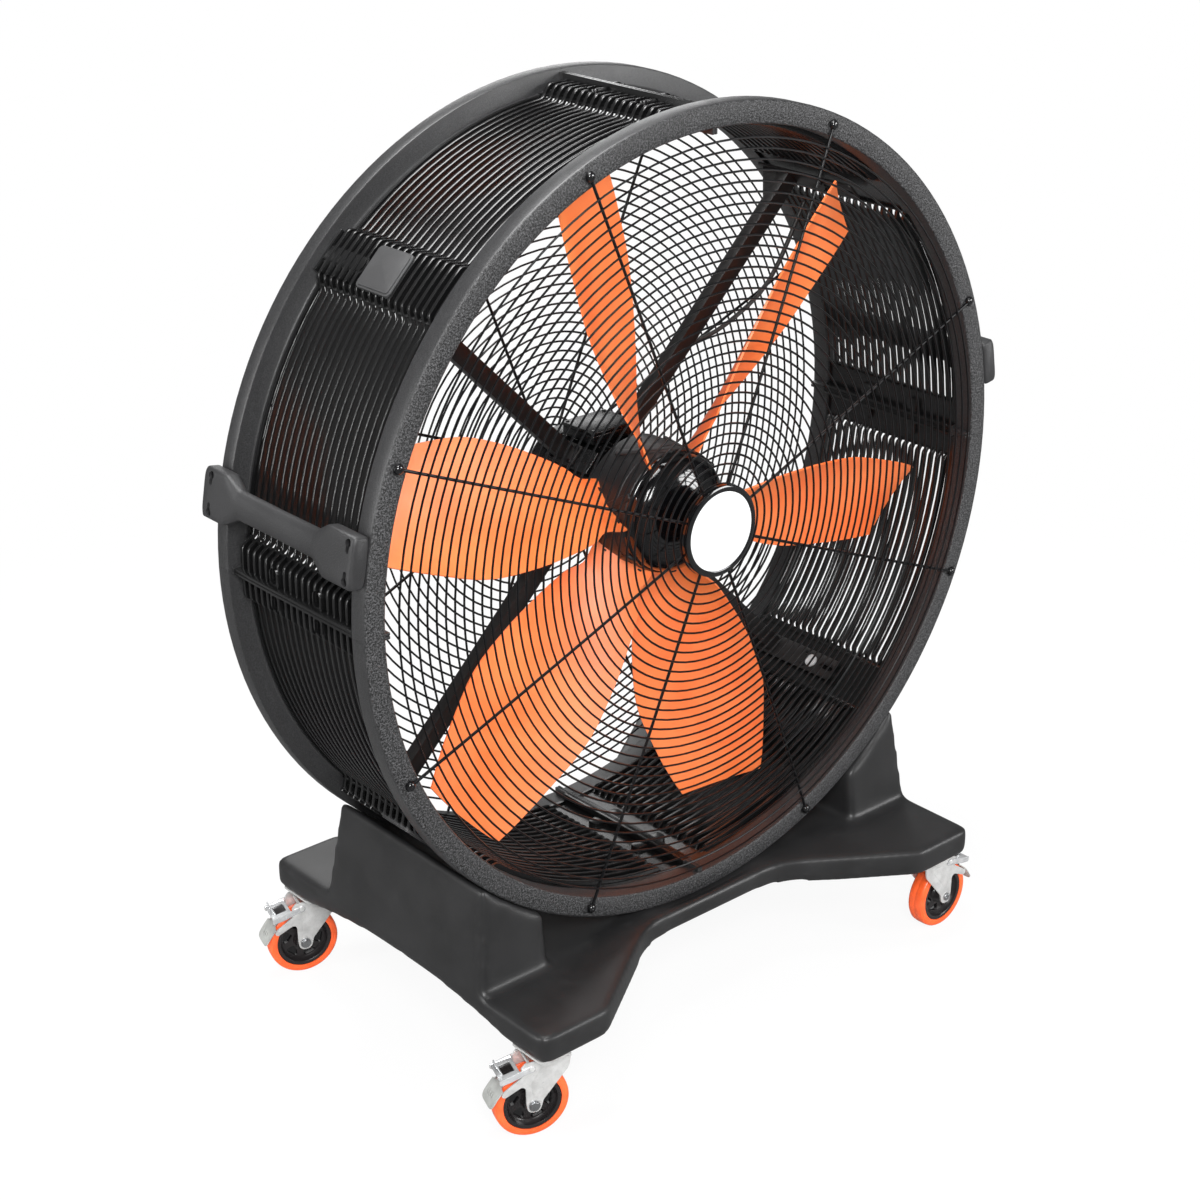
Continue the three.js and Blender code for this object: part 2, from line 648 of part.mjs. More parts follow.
// An end shield from its outer face to its inner one, with a bearing pocket open on the inner side.
function endShield(outer, inner, outwards) {
  const pocket = inner + outwards * BEARING_WIDTH;
  const eye = SHAFT_RADIUS + SHIELD_CLEARANCE;
  return turned([
    [eye, outer], [MOTOR_CORE, outer], [MOTOR_CORE, inner], [BEARING_RADIUS + GAP, inner],
    [BEARING_RADIUS + GAP, pocket], [eye, pocket], [eye, outer],
  ], MOTOR_SEGMENTS);
}

function bearing(from) {
  const bore = boreFor(SHAFT_RADIUS, SHAFT_RUN, MOTOR_SEGMENTS);
  return ring(bore, BEARING_RADIUS, from, from + BEARING_WIDTH, MOTOR_SEGMENTS);
}

const frontShield = HOUSING_FRONT - GAP;
const rearShield = HOUSING_BACK + GAP;
const housingBore = circle(0, 0, MOTOR_CORE - HOUSING_WALL, MOTOR_SEGMENTS);
const rotorBore = boreFor(SHAFT_RADIUS, GAP / 2, MOTOR_SEGMENTS);
const statorBore = boreFor(ROTOR_RADIUS, AIR_GAP, MOTOR_SEGMENTS);
const housing = alongY(housingOutline(), HOUSING_FRONT, HOUSING_BACK, [housingBore]);
const insideHousing = (inner, outer, margin) => (
  ring(inner, outer, HOUSING_FRONT + margin, HOUSING_BACK - margin, MOTOR_SEGMENTS));
const shaftFront = HUB_FRONT + HUB_RECESS - GAP;
const shaftBack = COWL_FRONT + COWL_LENGTH / 2;
piece('motor_housing', housing, 'motorPaint');
piece('stator', insideHousing(statorBore, STATOR_OUTER, WINDING_MARGIN), 'copper');
piece('rotor', insideHousing(rotorBore, ROTOR_RADIUS, ROTOR_MARGIN), 'steel');
piece('motor_shaft', rod(SHAFT_RADIUS, shaftFront, shaftBack, MOTOR_SEGMENTS), 'steel');
piece('end_shield_front', endShield(frontShield - SHIELD_THICK, frontShield, -1), 'motorPaint');
piece('end_shield_rear', endShield(rearShield + SHIELD_THICK, rearShield, 1), 'motorPaint');
piece('bearing_front', bearing(frontShield - BEARING_WIDTH + GAP), 'steel');
piece('bearing_rear', bearing(rearShield - GAP), 'steel');

piece('motor_cowl', turned([
  [MOTOR_CORE - COWL_WALL, COWL_FRONT], [MOTOR_CORE, COWL_FRONT], [MOTOR_CORE, COWL_BACK],
  [COWL_INLET, COWL_BACK], [COWL_INLET, COWL_BACK - COWL_WALL],
  [MOTOR_CORE - COWL_WALL, COWL_BACK - COWL_WALL], [MOTOR_CORE - COWL_WALL, COWL_FRONT],
], MOTOR_SEGMENTS), 'motorPaint');

// The motor's own cooling fan: a disc with straight paddles on the rear end of the shaft.
function coolingFan() {
  const front = COWL_FRONT + FAN_SETBACK;
  const paddles = Array.from({ length: FAN_PADDLES }, (_, k) => (
    box(rotorBore + 1, FAN_RADIUS - 1, front + 1, front + FAN_DEPTH, -FAN_WEB / 2, FAN_WEB / 2)
      .rotateY((2 * Math.PI * k) / FAN_PADDLES)
  ));
  return join(ring(rotorBore, FAN_RADIUS, front, front + FAN_WEB, MOTOR_SEGMENTS), ...paddles);
}

piece('cooling_fan', coolingFan(), 'coreBlack');

// A box open towards the motor, with a gland for the lead on its right side.
function terminalBox() {
  const half = TERMINAL_WIDTH / 2;
  const front = TERMINAL_Y - TERMINAL_DEPTH / 2;
  const back = TERMINAL_Y + TERMINAL_DEPTH / 2;
  const wall = TERMINAL_WALL;
  const gland = rod(GLAND_RADIUS, -GLAND_LENGTH - wall / 2, 0, 12).rotateZ(Math.PI / 2)
    .translate(half - wall / 2, LEAD_Y, (TERMINAL_FLOOR + TERMINAL_TOP) / 2);
  return join(
    cut(
      box(-half, half, front, back, TERMINAL_FLOOR, TERMINAL_TOP),
      box(-half + wall, half - wall, front + wall, back - wall, TERMINAL_FLOOR - 1, TERMINAL_TOP - wall),
    ),
    gland,
  );
}

const capacitorHeight = TERMINAL_TOP - TERMINAL_WALL - GAP - CAPACITOR_RADIUS;
piece('terminal_box', terminalBox(), 'motorPaint');
const capacitorFront = TERMINAL_Y - CAPACITOR_LENGTH / 2;
const capacitor = rod(CAPACITOR_RADIUS, capacitorFront, capacitorFront + CAPACITOR_LENGTH, 12);
piece('capacitor', capacitor.translate(0, 0, capacitorHeight), 'steel');

// The lead runs from the gland behind the upper right strut to the drum beside the strut's bracket.
const leadEndAngle = 39 * RAD;
const leadEndRadius = RIB_INNER * Math.cos(7 * RAD) - LEAD_RADIUS;
const leadStart = TERMINAL_WIDTH / 2 + GLAND_LENGTH + 2 * GAP;
const leadHeight = (TERMINAL_FLOOR + TERMINAL_TOP) / 2;
const lead = new THREE.CatmullRomCurve3([
  [leadStart, LEAD_Y, leadHeight],
  [leadStart + 14, LEAD_Y, leadHeight],
  [115, LEAD_Y, 118],
  [170, LEAD_Y, 152],
  [230, LEAD_Y, 180],
  [300, STRUT_Y, 208],
  [403, STRUT_Y, 266],
  [leadEndRadius * Math.cos(leadEndAngle), STRUT_Y, leadEndRadius * Math.sin(leadEndAngle)],
].map((point) => new THREE.Vector3(...point)));
piece('motor_lead', new THREE.ExtrudeGeometry(
  new THREE.Shape(circle(0, 0, LEAD_RADIUS, 6).map(([x, y]) => new THREE.Vector2(x, y))),
  { steps: 20, extrudePath: lead },
), 'cableBlack');

// Struts ----------------------------------------------------------------------------------------

// A strut along +X: an open channel with a foot on the motor's lug and a bracket under the drum.
function strut() {
  const start = LUG_RADIUS + GAP;
  const half = STRUT_WIDTH / 2;
  const front = STRUT_Y - STRUT_DEPTH / 2;
  const back = STRUT_Y + STRUT_DEPTH / 2;
  const plate = (x, from, to, width) => box(x, x + PLATE_THICK, from, to, -width / 2, width / 2);
  const channel = cut(
    box(start + 1, BRACKET_FACE - 1, front, back, -half, half),
    box(start, BRACKET_FACE, front + STRUT_WALL, back + 1, STRUT_WALL - half, half - STRUT_WALL),
  );
  return join(
    channel,
    plate(start, STRUT_Y - FOOT_LENGTH / 2, STRUT_Y + FOOT_LENGTH / 2, FOOT_WIDTH),
    plate(BRACKET_FACE - PLATE_THICK, STRUT_Y - BRACKET_AHEAD, STRUT_Y + BRACKET_BEHIND, BRACKET_WIDTH),
  );
}

['strut_upper_right', 'strut_upper_left', 'strut_lower_left', 'strut_lower_right'].forEach((name, k) => {
  piece(name, strut(), 'strutPaint').rotation.y = -(45 + 90 * k) * RAD;
});

// Handles ---------------------------------------------------------------------------------------

// A handle along +X: a block on each rim and an oval grip between them with flared ends.
function handle() {
  const seat = DRUM_RADIUS + GAP;
  const top = DRUM_RADIUS + HANDLE_REACH;
  const half = HANDLE_BLOCK_HEIGHT / 2;
  const chamfer = HANDLE_CHAMFER;
  const outline = [
    [seat, -half], [top - chamfer / 2, -half], [top, -half + chamfer],
    [top, half - chamfer], [top - chamfer / 2, half], [seat, half],
  ];
  const middle = top - 1 - GRIP_THICK / 2;
  const from = FRONT + HANDLE_FRONT_BLOCK;
  const to = BACK - HANDLE_REAR_BLOCK;
  const stations = [
    [from - GRIP_ROOT, GRIP_FLARE], [from + GRIP_FLARE_LENGTH, 1],
    [to - GRIP_FLARE_LENGTH, 1], [to + GRIP_ROOT, GRIP_FLARE],
  ];
  const grip = skinLoops(stations.map(([y, flare]) => circle(0, 0, 1, GRIP_SIDES).map(([u, v]) => (
    [middle + (u * GRIP_THICK) / 2, y, (v * GRIP_HEIGHT * flare) / 2]))));
  return join(grip, alongY(outline, FRONT, from), alongY(outline, to, BACK));
}

piece('handle_right', handle(), 'handlePlastic').rotation.y = -HANDLE_ANGLE * RAD;
piece('handle_left', handle(), 'handlePlastic').rotation.y = -(180 - HANDLE_ANGLE) * RAD;

// Base ------------------------------------------------------------------------------------------

// The deck's outline: four feet joined by straight diagonals to a narrow waist.
function deckOutline(inset) {
  const waist = WAIST_HALF_DEPTH - inset;
  const slope = Math.atan2(BASE_HALF_DEPTH - WAIST_HALF_DEPTH, FOOT_INNER - WAIST_HALF_WIDTH);
  const shift = inset * Math.tan(slope / 2);
  const quarter = [
    [BASE_HALF_WIDTH - inset, BASE_HALF_DEPTH - inset, CORNER_RADIUS - inset],
    [FOOT_INNER + shift, BASE_HALF_DEPTH - inset, CORNER_RADIUS],
    [WAIST_HALF_WIDTH + shift, waist, WAIST_RADIUS],
  ];
  const corners = [[1, -1], [-1, -1], [-1, 1], [1, 1]].flatMap(([sx, sy]) => {
    const placed = quarter.map(([x, y, radius]) => [sx * x, sy * y, radius]);
    return sx * sy > 0 ? placed.reverse() : placed;
  });
  return rounded(corners, 4).map((point) => new THREE.Vector2(point.x, point.y));
}

// A tower leans in on its outer wall and at both ends.
function tower(side, inset) {
  const loop = (outer, halfDepth, z) => [
    [side * (TOWER_INNER + inset), -halfDepth, z], [side * outer, -halfDepth, z],
    [side * outer, halfDepth, z], [side * (TOWER_INNER + inset), halfDepth, z],
  ];
  const outer = TOWER_OUTER - inset;
  const halfDepth = TOWER_HALF_DEPTH - inset;
  return skinLoops([
    loop(outer, halfDepth, DECK_HEIGHT - BASE_THICK / 2),
    loop(outer, halfDepth, DECK_HEIGHT),
    loop(outer - TOWER_SIDE_DRAFT, halfDepth - TOWER_END_DRAFT, DECK_HEIGHT + TOWER_RISE - inset),
  ]);
}

// The underside is raised in the middle by a shallow arch that runs the whole width.
function arch(inset) {
  const steps = 12;
  const radius = (ARCH_HALF ** 2 + ARCH_RISE ** 2) / (2 * ARCH_RISE);
  const half = Math.asin(ARCH_HALF / radius);
  const low = CASTER_HEIGHT - BASE_THICK / 2;
  const outline = [[ARCH_HALF, low], [-ARCH_HALF, low]];
  for (let k = 0; k <= steps; k += 1) {
    const angle = -half + (2 * half * k) / steps;
    const drop = radius * (1 - Math.cos(angle));
    outline.push([radius * Math.sin(angle), CASTER_HEIGHT + inset + ARCH_RISE - drop]);
  }
  return alongY(outline, -2 * BASE_HALF_WIDTH, 2 * BASE_HALF_WIDTH).rotateZ(Math.PI / 2);
}

// The base's outer form, or the hollow inside it when inset by the wall.
function baseForm(inset) {
  const deck = new THREE.ExtrudeGeometry(new THREE.Shape(deckOutline(inset)), {
    depth: BASE_THICK - 2 * inset, bevelEnabled: false,
  }).translate(0, 0, CASTER_HEIGHT + inset);
  const cradleSegments = 90;
  const cradleRadius = boreFor(DRUM_RADIUS + inset, CRADLE_CLEARANCE, cradleSegments);
  const reach = TOWER_HALF_DEPTH + inset;
  const cradle = rod(cradleRadius, -reach, reach, cradleSegments).translate(0, 0, AXIS_HEIGHT);
  return cut(join(deck, tower(1, inset), tower(-1, inset)), cradle, arch(inset));
}

// A hand's way up into each tower from below.
const accessHoles = [-1, 1].map((side) => {
  const left = (side * (TOWER_INNER + TOWER_OUTER) - ACCESS_WIDTH) / 2;
  const top = CASTER_HEIGHT + ARCH_RISE + 2 * BASE_WALL;
  return box(left, left + ACCESS_WIDTH, -ACCESS_LENGTH / 2, ACCESS_LENGTH / 2, CASTER_HEIGHT, top);
});
piece('base', cut(baseForm(0), baseForm(BASE_WALL), ...accessHoles), 'basePlastic', fan);

// Casters ---------------------------------------------------------------------------------------

// In a caster's own frame the swivel axis is Z, the plate's seat is z = 0 and the wheel trails along +X.
function casterPlate() {
  const [length, width] = [CASTER_PLATE_LENGTH / 2, CASTER_PLATE_WIDTH / 2];
  const signs = [[-1, -1], [1, -1], [1, 1], [-1, 1]];
  const outline = signs.map(([sx, sy]) => [sx * length, sy * width, CASTER_BOLT_INSET]);
  const shape = new THREE.Shape(rounded(outline, 2));
  for (const [sx, sy] of signs) {
    const [x, y] = [sx * (length - CASTER_BOLT_INSET), sy * (width - CASTER_BOLT_INSET)];
    const hole = circle(x, y, CASTER_BOLT_RADIUS, 8);
    shape.holes.push(new THREE.Path(hole.map((point) => new THREE.Vector2(...point))));
  }
  const plate = new THREE.ExtrudeGeometry(shape, { depth: CASTER_PLATE_THICK, bevelEnabled: false });
  const raceway = rod(RACEWAY_RADIUS, -RACEWAY_DEPTH, 1, 14).rotateX(Math.PI / 2);
  return join(plate, raceway).translate(0, 0, -GAP - CASTER_PLATE_THICK);
}

// The fork: a bridge under the raceway, two legs with the axle's eyes, and the pedal's pin.
function casterFork() {
  const top = -FORK_TOP - GAP;
  const eye = [CASTER_TRAIL, -AXLE_DROP];
  const outline = [
    [-FORK_BACK, top], [FORK_FRONT, top], [eye[0] + FORK_EYE + 5, top - 32], [eye[0] + FORK_EYE, eye[1]],
    [eye[0] + FORK_EYE * 0.6, eye[1] - FORK_EYE * 0.8],
    [eye[0] - FORK_EYE * 0.6, eye[1] - FORK_EYE * 0.8],
    [eye[0] - FORK_EYE, eye[1]], [-FORK_BACK + 6, top - 24],
  ];
  const holes = [circle(...eye, AXLE_RADIUS + GAP, 12)];
  const pin = rod(PEDAL_PIN, -LEG_INSIDE - 1, LEG_INSIDE + 1, 8);
  pin.translate(PEDAL_PIVOT.x, 0, -PEDAL_PIVOT.drop);
  return join(
    box(-FORK_BACK, FORK_FRONT - PEDAL_BARREL * 2, -LEG_OUTSIDE, LEG_OUTSIDE, top - FORK_WALL, top),
    alongY(outline, -LEG_OUTSIDE, -LEG_INSIDE, holes),
    alongY(outline, LEG_INSIDE, LEG_OUTSIDE, holes),
    pin,
  );
}

// The brake pedal: a barrel on the fork's pin, a plate that follows the tyre, and an up-turned tab.
function casterPedal() {
  const half = PEDAL_WIDTH / 2;
  const barrelHalf = LEG_INSIDE - SIDE_PLAY;
  const barrel = ring(boreFor(PEDAL_PIN, GAP, 10), PEDAL_BARREL, -barrelHalf, barrelHalf, 10);
  const line = [[PEDAL_BARREL - 1.5, 1], [24, 3], [46, -5], [63, -17], [72, -13], [80, 0]];
  const lower = line.map(([x, z], k) => [x - (k > 3 ? -PEDAL_THICK : 1), z - PEDAL_THICK]);
  return join(barrel, alongY([...line, ...lower.reverse()], -half, half));
}

function casterTyre() {
  const half = TYRE_WIDTH / 2;
  const inner = CORE_RADIUS + GAP;
  return turned([
    [inner, -half], [TYRE_RADIUS - TYRE_CHAMFER, -half], [TYRE_RADIUS, TYRE_CHAMFER - half],
    [TYRE_RADIUS, half - TYRE_CHAMFER], [TYRE_RADIUS - TYRE_CHAMFER, half],
    [inner, half], [inner, -half],
  ], WHEEL_SEGMENTS);
}

function casterCore() {
  const bore = boreFor(AXLE_RADIUS, CORE_RUN, WHEEL_SEGMENTS);
  const hubHalf = TYRE_WIDTH / 2 + HUB_OVERHANG;
  const rimHalf = TYRE_WIDTH / 2 - 1;
  const side = [
    [bore, hubHalf], [CORE_HUB, hubHalf], [CORE_HUB, CORE_WEB / 2],
    [CORE_RADIUS - CORE_RIM, CORE_WEB / 2],
    [CORE_RADIUS - CORE_RIM, rimHalf], [CORE_RADIUS, rimHalf],
  ];
  const mirrored = side.map(([radius, y]) => [radius, -y]).reverse();
  return turned([...side, ...mirrored, side[0]], WHEEL_SEGMENTS);
}

function casterAxle() {
  const seat = LEG_OUTSIDE + GAP;
  const end = seat + AXLE_HEAD_THICK;
  const side = [[AXLE_RADIUS, seat], [AXLE_HEAD, seat], [AXLE_HEAD, end], [0, end]];
  const mirrored = side.map(([radius, y]) => [radius, -y]).reverse();
  return turned([...mirrored, ...side], 12);
}

for (const [corner, heading] of Object.entries(CASTER_HEADINGS)) {
  const seat = new THREE.Group();
  seat.position.set(
    (BASE_HALF_WIDTH - CASTER_INSET_X) * (corner.endsWith('right') ? 1 : -1),
    (BASE_HALF_DEPTH - CASTER_INSET_Y) * (corner.startsWith('rear') ? 1 : -1),
    CASTER_HEIGHT,
  );
  fan.add(seat);
  const swivel = new THREE.Group();
  swivel.rotation.z = heading * RAD;
  seat.add(swivel);
  const wheel = new THREE.Group();
  wheel.position.set(CASTER_TRAIL, 0, -AXLE_DROP);
  swivel.add(wheel);
  const name = `caster_${corner}`;
  piece(`${name}_plate`, casterPlate(), 'zinc', seat);
  piece(`${name}_fork`, casterFork(), 'zinc', swivel);
  const pedal = piece(`${name}_pedal`, casterPedal(), 'zinc', swivel);
  pedal.position.set(PEDAL_PIVOT.x, 0, -PEDAL_PIVOT.drop);
  piece(`${name}_tyre`, casterTyre(), 'tyreOrange', wheel);
  piece(`${name}_core`, casterCore(), 'coreBlack', wheel);
  piece(`${name}_axle`, casterAxle(), 'steel', wheel);
}

export default fan;
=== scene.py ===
"""Drum fan on a wheeled base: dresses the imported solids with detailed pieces, finishes and a studio.

The pieces are drawn in millimetres, round the drum's own axis or from the floor, and are brought to
metres in the shared frame when they are finished.
"""

import math

import bmesh
import bpy
from mathutils import Matrix, Vector


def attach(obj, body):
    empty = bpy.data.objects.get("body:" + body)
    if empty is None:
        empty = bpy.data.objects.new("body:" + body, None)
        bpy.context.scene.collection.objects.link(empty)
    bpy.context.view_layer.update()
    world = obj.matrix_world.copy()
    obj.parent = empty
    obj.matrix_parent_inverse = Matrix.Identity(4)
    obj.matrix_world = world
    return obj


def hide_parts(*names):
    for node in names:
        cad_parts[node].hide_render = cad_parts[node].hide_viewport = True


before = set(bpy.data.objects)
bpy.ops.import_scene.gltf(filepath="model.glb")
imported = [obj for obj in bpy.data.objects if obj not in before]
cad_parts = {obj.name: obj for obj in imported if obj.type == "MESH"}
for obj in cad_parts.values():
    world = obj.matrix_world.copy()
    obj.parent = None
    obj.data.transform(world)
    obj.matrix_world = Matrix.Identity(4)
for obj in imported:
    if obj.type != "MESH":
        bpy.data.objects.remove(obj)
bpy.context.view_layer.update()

bl_info = {
    "name": "Drum Fan",
    "version": (1, 0, 0),
    "blender": (4, 5, 0),
    "location": "View3D > Sidebar > Drum Fan",
    "description": "Builds a large six-blade drum fan on braked casters",
    "category": "Add Mesh",
}

# ---------------------------------------------------------------------------------------------
# Sizes that the pieces share, in millimetres and degrees
# ---------------------------------------------------------------------------------------------

MM = 0.001
AXIS_HEIGHT = 875.5
DRUM_RADIUS = 675
FRONT = -191.5
BACK = 191.5
FRONT_BAND = 34.4
REAR_BAND = 29.9
RIM_INNER = 642
RIM_WALL = 4
SEAM_ANGLE = 0.02
RIB_ROWS = 19
RIB_FIRST = -140.9
RIB_PITCH = 15.9
RIB_MIDDLE = 635
JOG_RISE = 20
JOG_NEAR = 3.4
JOG_FAR = 5.3
RIM_LIP = 5
RIM_FACE_DEPTH = (0.1885, 0.1905)  # for the drum's finish: in metres, from the drum's middle
RIM_BAND_DEPTH = (0.1535, 0.1565)
FLANGE_MIDDLE = 648.5
FLANGE_BOLTS_Y = (-55.75, 55.75)
BAR_Y = 113
BAR_ROWS = 6
GUARD_GAP = 0.4
HEART_RINGS = (62, 76)
SPOKE_COUNT = 8
SPOKE_FIRST = 22.5
SPOKE_STOPS = (58, 150, 250, 350, 450, 540, 600, 649)
EYELET_RADIUS = 656.5
BLADE_COUNT = 6
BLADE_FIRST = 46
BLADE_Y = -68
BLADE_ROOT = 104
BLADE_TIP = 597
TIP_CUT = 16
CAMBER = 0.055
ROOT_SHARE = 0.09
ROOT_FLARE = 14
NECK_SHARE = 0.06
NECK_CUT = 16
DIMPLE_RADIUS = 345
DIMPLE_SIZE = 9
DIMPLE_DEPTH = 0.8
STRUT_Y = 85
STRUT_START = 88.3
BRACKET_FACE = 629.3
HANDLE_ANGLE = 10.5
HANDLE_SCREWS = [(y, z) for y in (FRONT + 14, BACK - 20) for z in (-29, 29)]
DECK_BOTTOM = 161
DECK_TOP = 211
TOWER_INNER = 355
CRADLE_RADIUS = 675.5
ARCH_REACH = 272
ARCH_RISE = 29
SWIVEL_X = 443
SWIVEL_Y = 315
TRAIL = 36
AXLE_DROP = 98.5
PIVOT_X = 40
PIVOT_DROP = 27
# Bolts: their washer and their head, each as radius, height, sides and softened edge.
FLANGE_BOLT = ((7.4, 1.4, 20, 0.3), (5.6, 5.6, 6, 0.6))
BRACKET_BOLT = ((6, 1.2, 18, 0.3), (4.6, 4.4, 6, 0.5))
PLATE_BOLT = ((8, 1.4, 20, 0.3), (6.2, 5, 6, 0.6))
CASTERS = {"front_left": 160, "rear_left": 163, "front_right": 2, "rear_right": 12}
QUADRANTS = ("upper_right", "upper_left", "lower_left", "lower_right")
BLADE_STATIONS = (
    (0.0, 92, 56), (0.11, 128, 50), (0.25, 168, 41), (0.42, 206, 35),
    (0.6, 226, 31), (0.78, 202, 27), (0.92, 174, 23), (1.0, 152, 20),
)
LEAD_ROUTE = (
    (58.6, 104, 95.3), (72.6, 104, 95.3), (115, 104, 118), (170, 104, 152),
    (230, 104, 180), (300, 85, 208), (403, 85, 266), (482.8, 85, 391.0),
)

FROM_AXIS = Matrix.Translation((0, 0, AXIS_HEIGHT * MM)) @ Matrix.Scale(MM, 4)
FROM_FLOOR = Matrix.Scale(MM, 4)

# The studio, in metres and degrees. Each lamp: name, place, width and height, power.
LAMP_TARGET = Vector((0, 0, 0.8))
LAMPS = (
    ("key", (-2.6, -3.3, 3.4), (1.7, 1.7), 265), ("fill", (3.0, -3.8, 2.0), (1.8, 2.2), 160),
    ("crown", (-0.4, 0.4, 4.4), (2.4, 1.6), 190), ("back", (2.4, 3.8, 2.6), (2.0, 2.0), 40),
    ("side", (-4.0, 1.2, 1.8), (0.35, 2.2), 70),
)
LENS = 70.02
SENSOR = 36
CAMERA_PLACE = (-2.405, -2.6651, AXIS_HEIGHT * MM + 1.4185)
CAMERA_TURN = (65.815, 0, -41.317)


# ---------------------------------------------------------------------------------------------
# Properties
# ---------------------------------------------------------------------------------------------

class FanSizes(bpy.types.PropertyGroup):
    """Sizes that a maker of such a fan would change."""

    ring_count: bpy.props.IntProperty(
        name="Guard rings", description="Wire rings on each guard", default=33, min=6)
    ring_first: bpy.props.FloatProperty(
        name="First ring", description="Radius of the innermost ring", default=0.092,
        unit="LENGTH", subtype="DISTANCE")
    ring_pitch: bpy.props.FloatProperty(
        name="Ring pitch", description="Distance from ring to ring", default=0.0165,
        unit="LENGTH", subtype="DISTANCE")
    ring_wire: bpy.props.FloatProperty(
        name="Ring wire", description="Thickness of the rings' wire", default=0.0036,
        unit="LENGTH", subtype="DISTANCE")
    spoke_wire: bpy.props.FloatProperty(
        name="Spoke wire", description="Thickness of the spokes' wire", default=0.005,
        unit="LENGTH", subtype="DISTANCE")
    guard_dome: bpy.props.FloatProperty(
        name="Guard dome", description="How far a guard bulges outwards", default=0.011,
        unit="LENGTH", subtype="DISTANCE")
    rib_width: bpy.props.FloatProperty(
        name="Rib width", description="Width of each rib of the drum", default=0.0066,
        unit="LENGTH", subtype="DISTANCE")
    blade_thickness: bpy.props.FloatProperty(
        name="Blade thickness", description="Thickness of a blade's skin", default=0.0034,
        unit="LENGTH", subtype="DISTANCE")
    base_voxel: bpy.props.FloatProperty(
        name="Base grain", description="Cell size of the moulded base's skin", default=0.005,
        unit="LENGTH", subtype="DISTANCE")
    base_softness: bpy.props.IntProperty(
        name="Base softness", description="How far the base's edges are rounded", default=13, min=0)


def colour_property(name, description, default):
    return bpy.props.FloatVectorProperty(
        name=name, description=description, default=default, subtype="COLOR", size=3, min=0, max=1)


class FanColours(bpy.types.PropertyGroup):
    """Colours of the fan's finishes."""

    drum: colour_property("Drum", "Moulded drum", (0.026, 0.026, 0.027))
    base: colour_property("Base", "Rotomoulded base", (0.0165, 0.0165, 0.017))
    handle: colour_property("Handles", "Textured handles", (0.021, 0.021, 0.022))
    wire: colour_property("Guards", "Coated wire", (0.004, 0.004, 0.0045))
    gloss: colour_property("Gloss black", "Hub cap, badge ring and screws", (0.0025, 0.0025, 0.003))
    disc: colour_property("Disc", "Bare disc of the badge", (0.76, 0.77, 0.78))
    blade: colour_property("Blades", "Blades' plastic", (0.93, 0.165, 0.032))
    # A pale orange painted into the blades as painted sheen, and also used for their lighter marks.
    blade_pale: colour_property("Blades, pale", "Sheen of the blades", (1.0, 0.31, 0.095))
    hub: colour_property("Hub", "Cast hub", (0.014, 0.014, 0.015))
    motor: colour_property("Motor", "Motor's enamel", (0.005, 0.005, 0.0055))
    strut: colour_property("Struts", "Struts' powder coat", (0.009, 0.008, 0.008))
    zinc: colour_property("Casters", "Bright zinc plating", (0.63, 0.63, 0.622))
    tyre: colour_property("Tyres", "Cast tyre rubber", (0.93, 0.12, 0.025))
    core: colour_property("Wheel cores", "Nylon cores", (0.014, 0.012, 0.0125))
    cover: colour_property("Covers", "Lids over the struts' screws", (0.046, 0.046, 0.047))
    floor: colour_property("Floor", "Studio floor", (0.82, 0.82, 0.82))


# ---------------------------------------------------------------------------------------------
# Finishes
# ---------------------------------------------------------------------------------------------

class Tone:
    """A shader socket: arithmetic on it adds Math nodes, or Vector Math nodes where it is a vector."""

    def __init__(self, recipe, socket):
        self.recipe = recipe
        self.socket = socket

    def _join(self, operation, first, second):
        kind = "ShaderNodeVectorMath" if self.socket.type == "VECTOR" else "ShaderNodeMath"
        return self.recipe.node(kind, {"operation": operation}, {0: first, 1: second})

    def __add__(self, other):
        return self._join("ADD", self, other)

    def __radd__(self, other):
        return self._join("ADD", other, self)

    def __sub__(self, other):
        return self._join("SUBTRACT", self, other)

    def __rsub__(self, other):
        return self._join("SUBTRACT", other, self)

    def __mul__(self, other):
        return self._join("MULTIPLY", self, other)

    def __rmul__(self, other):
        return self._join("MULTIPLY", other, self)


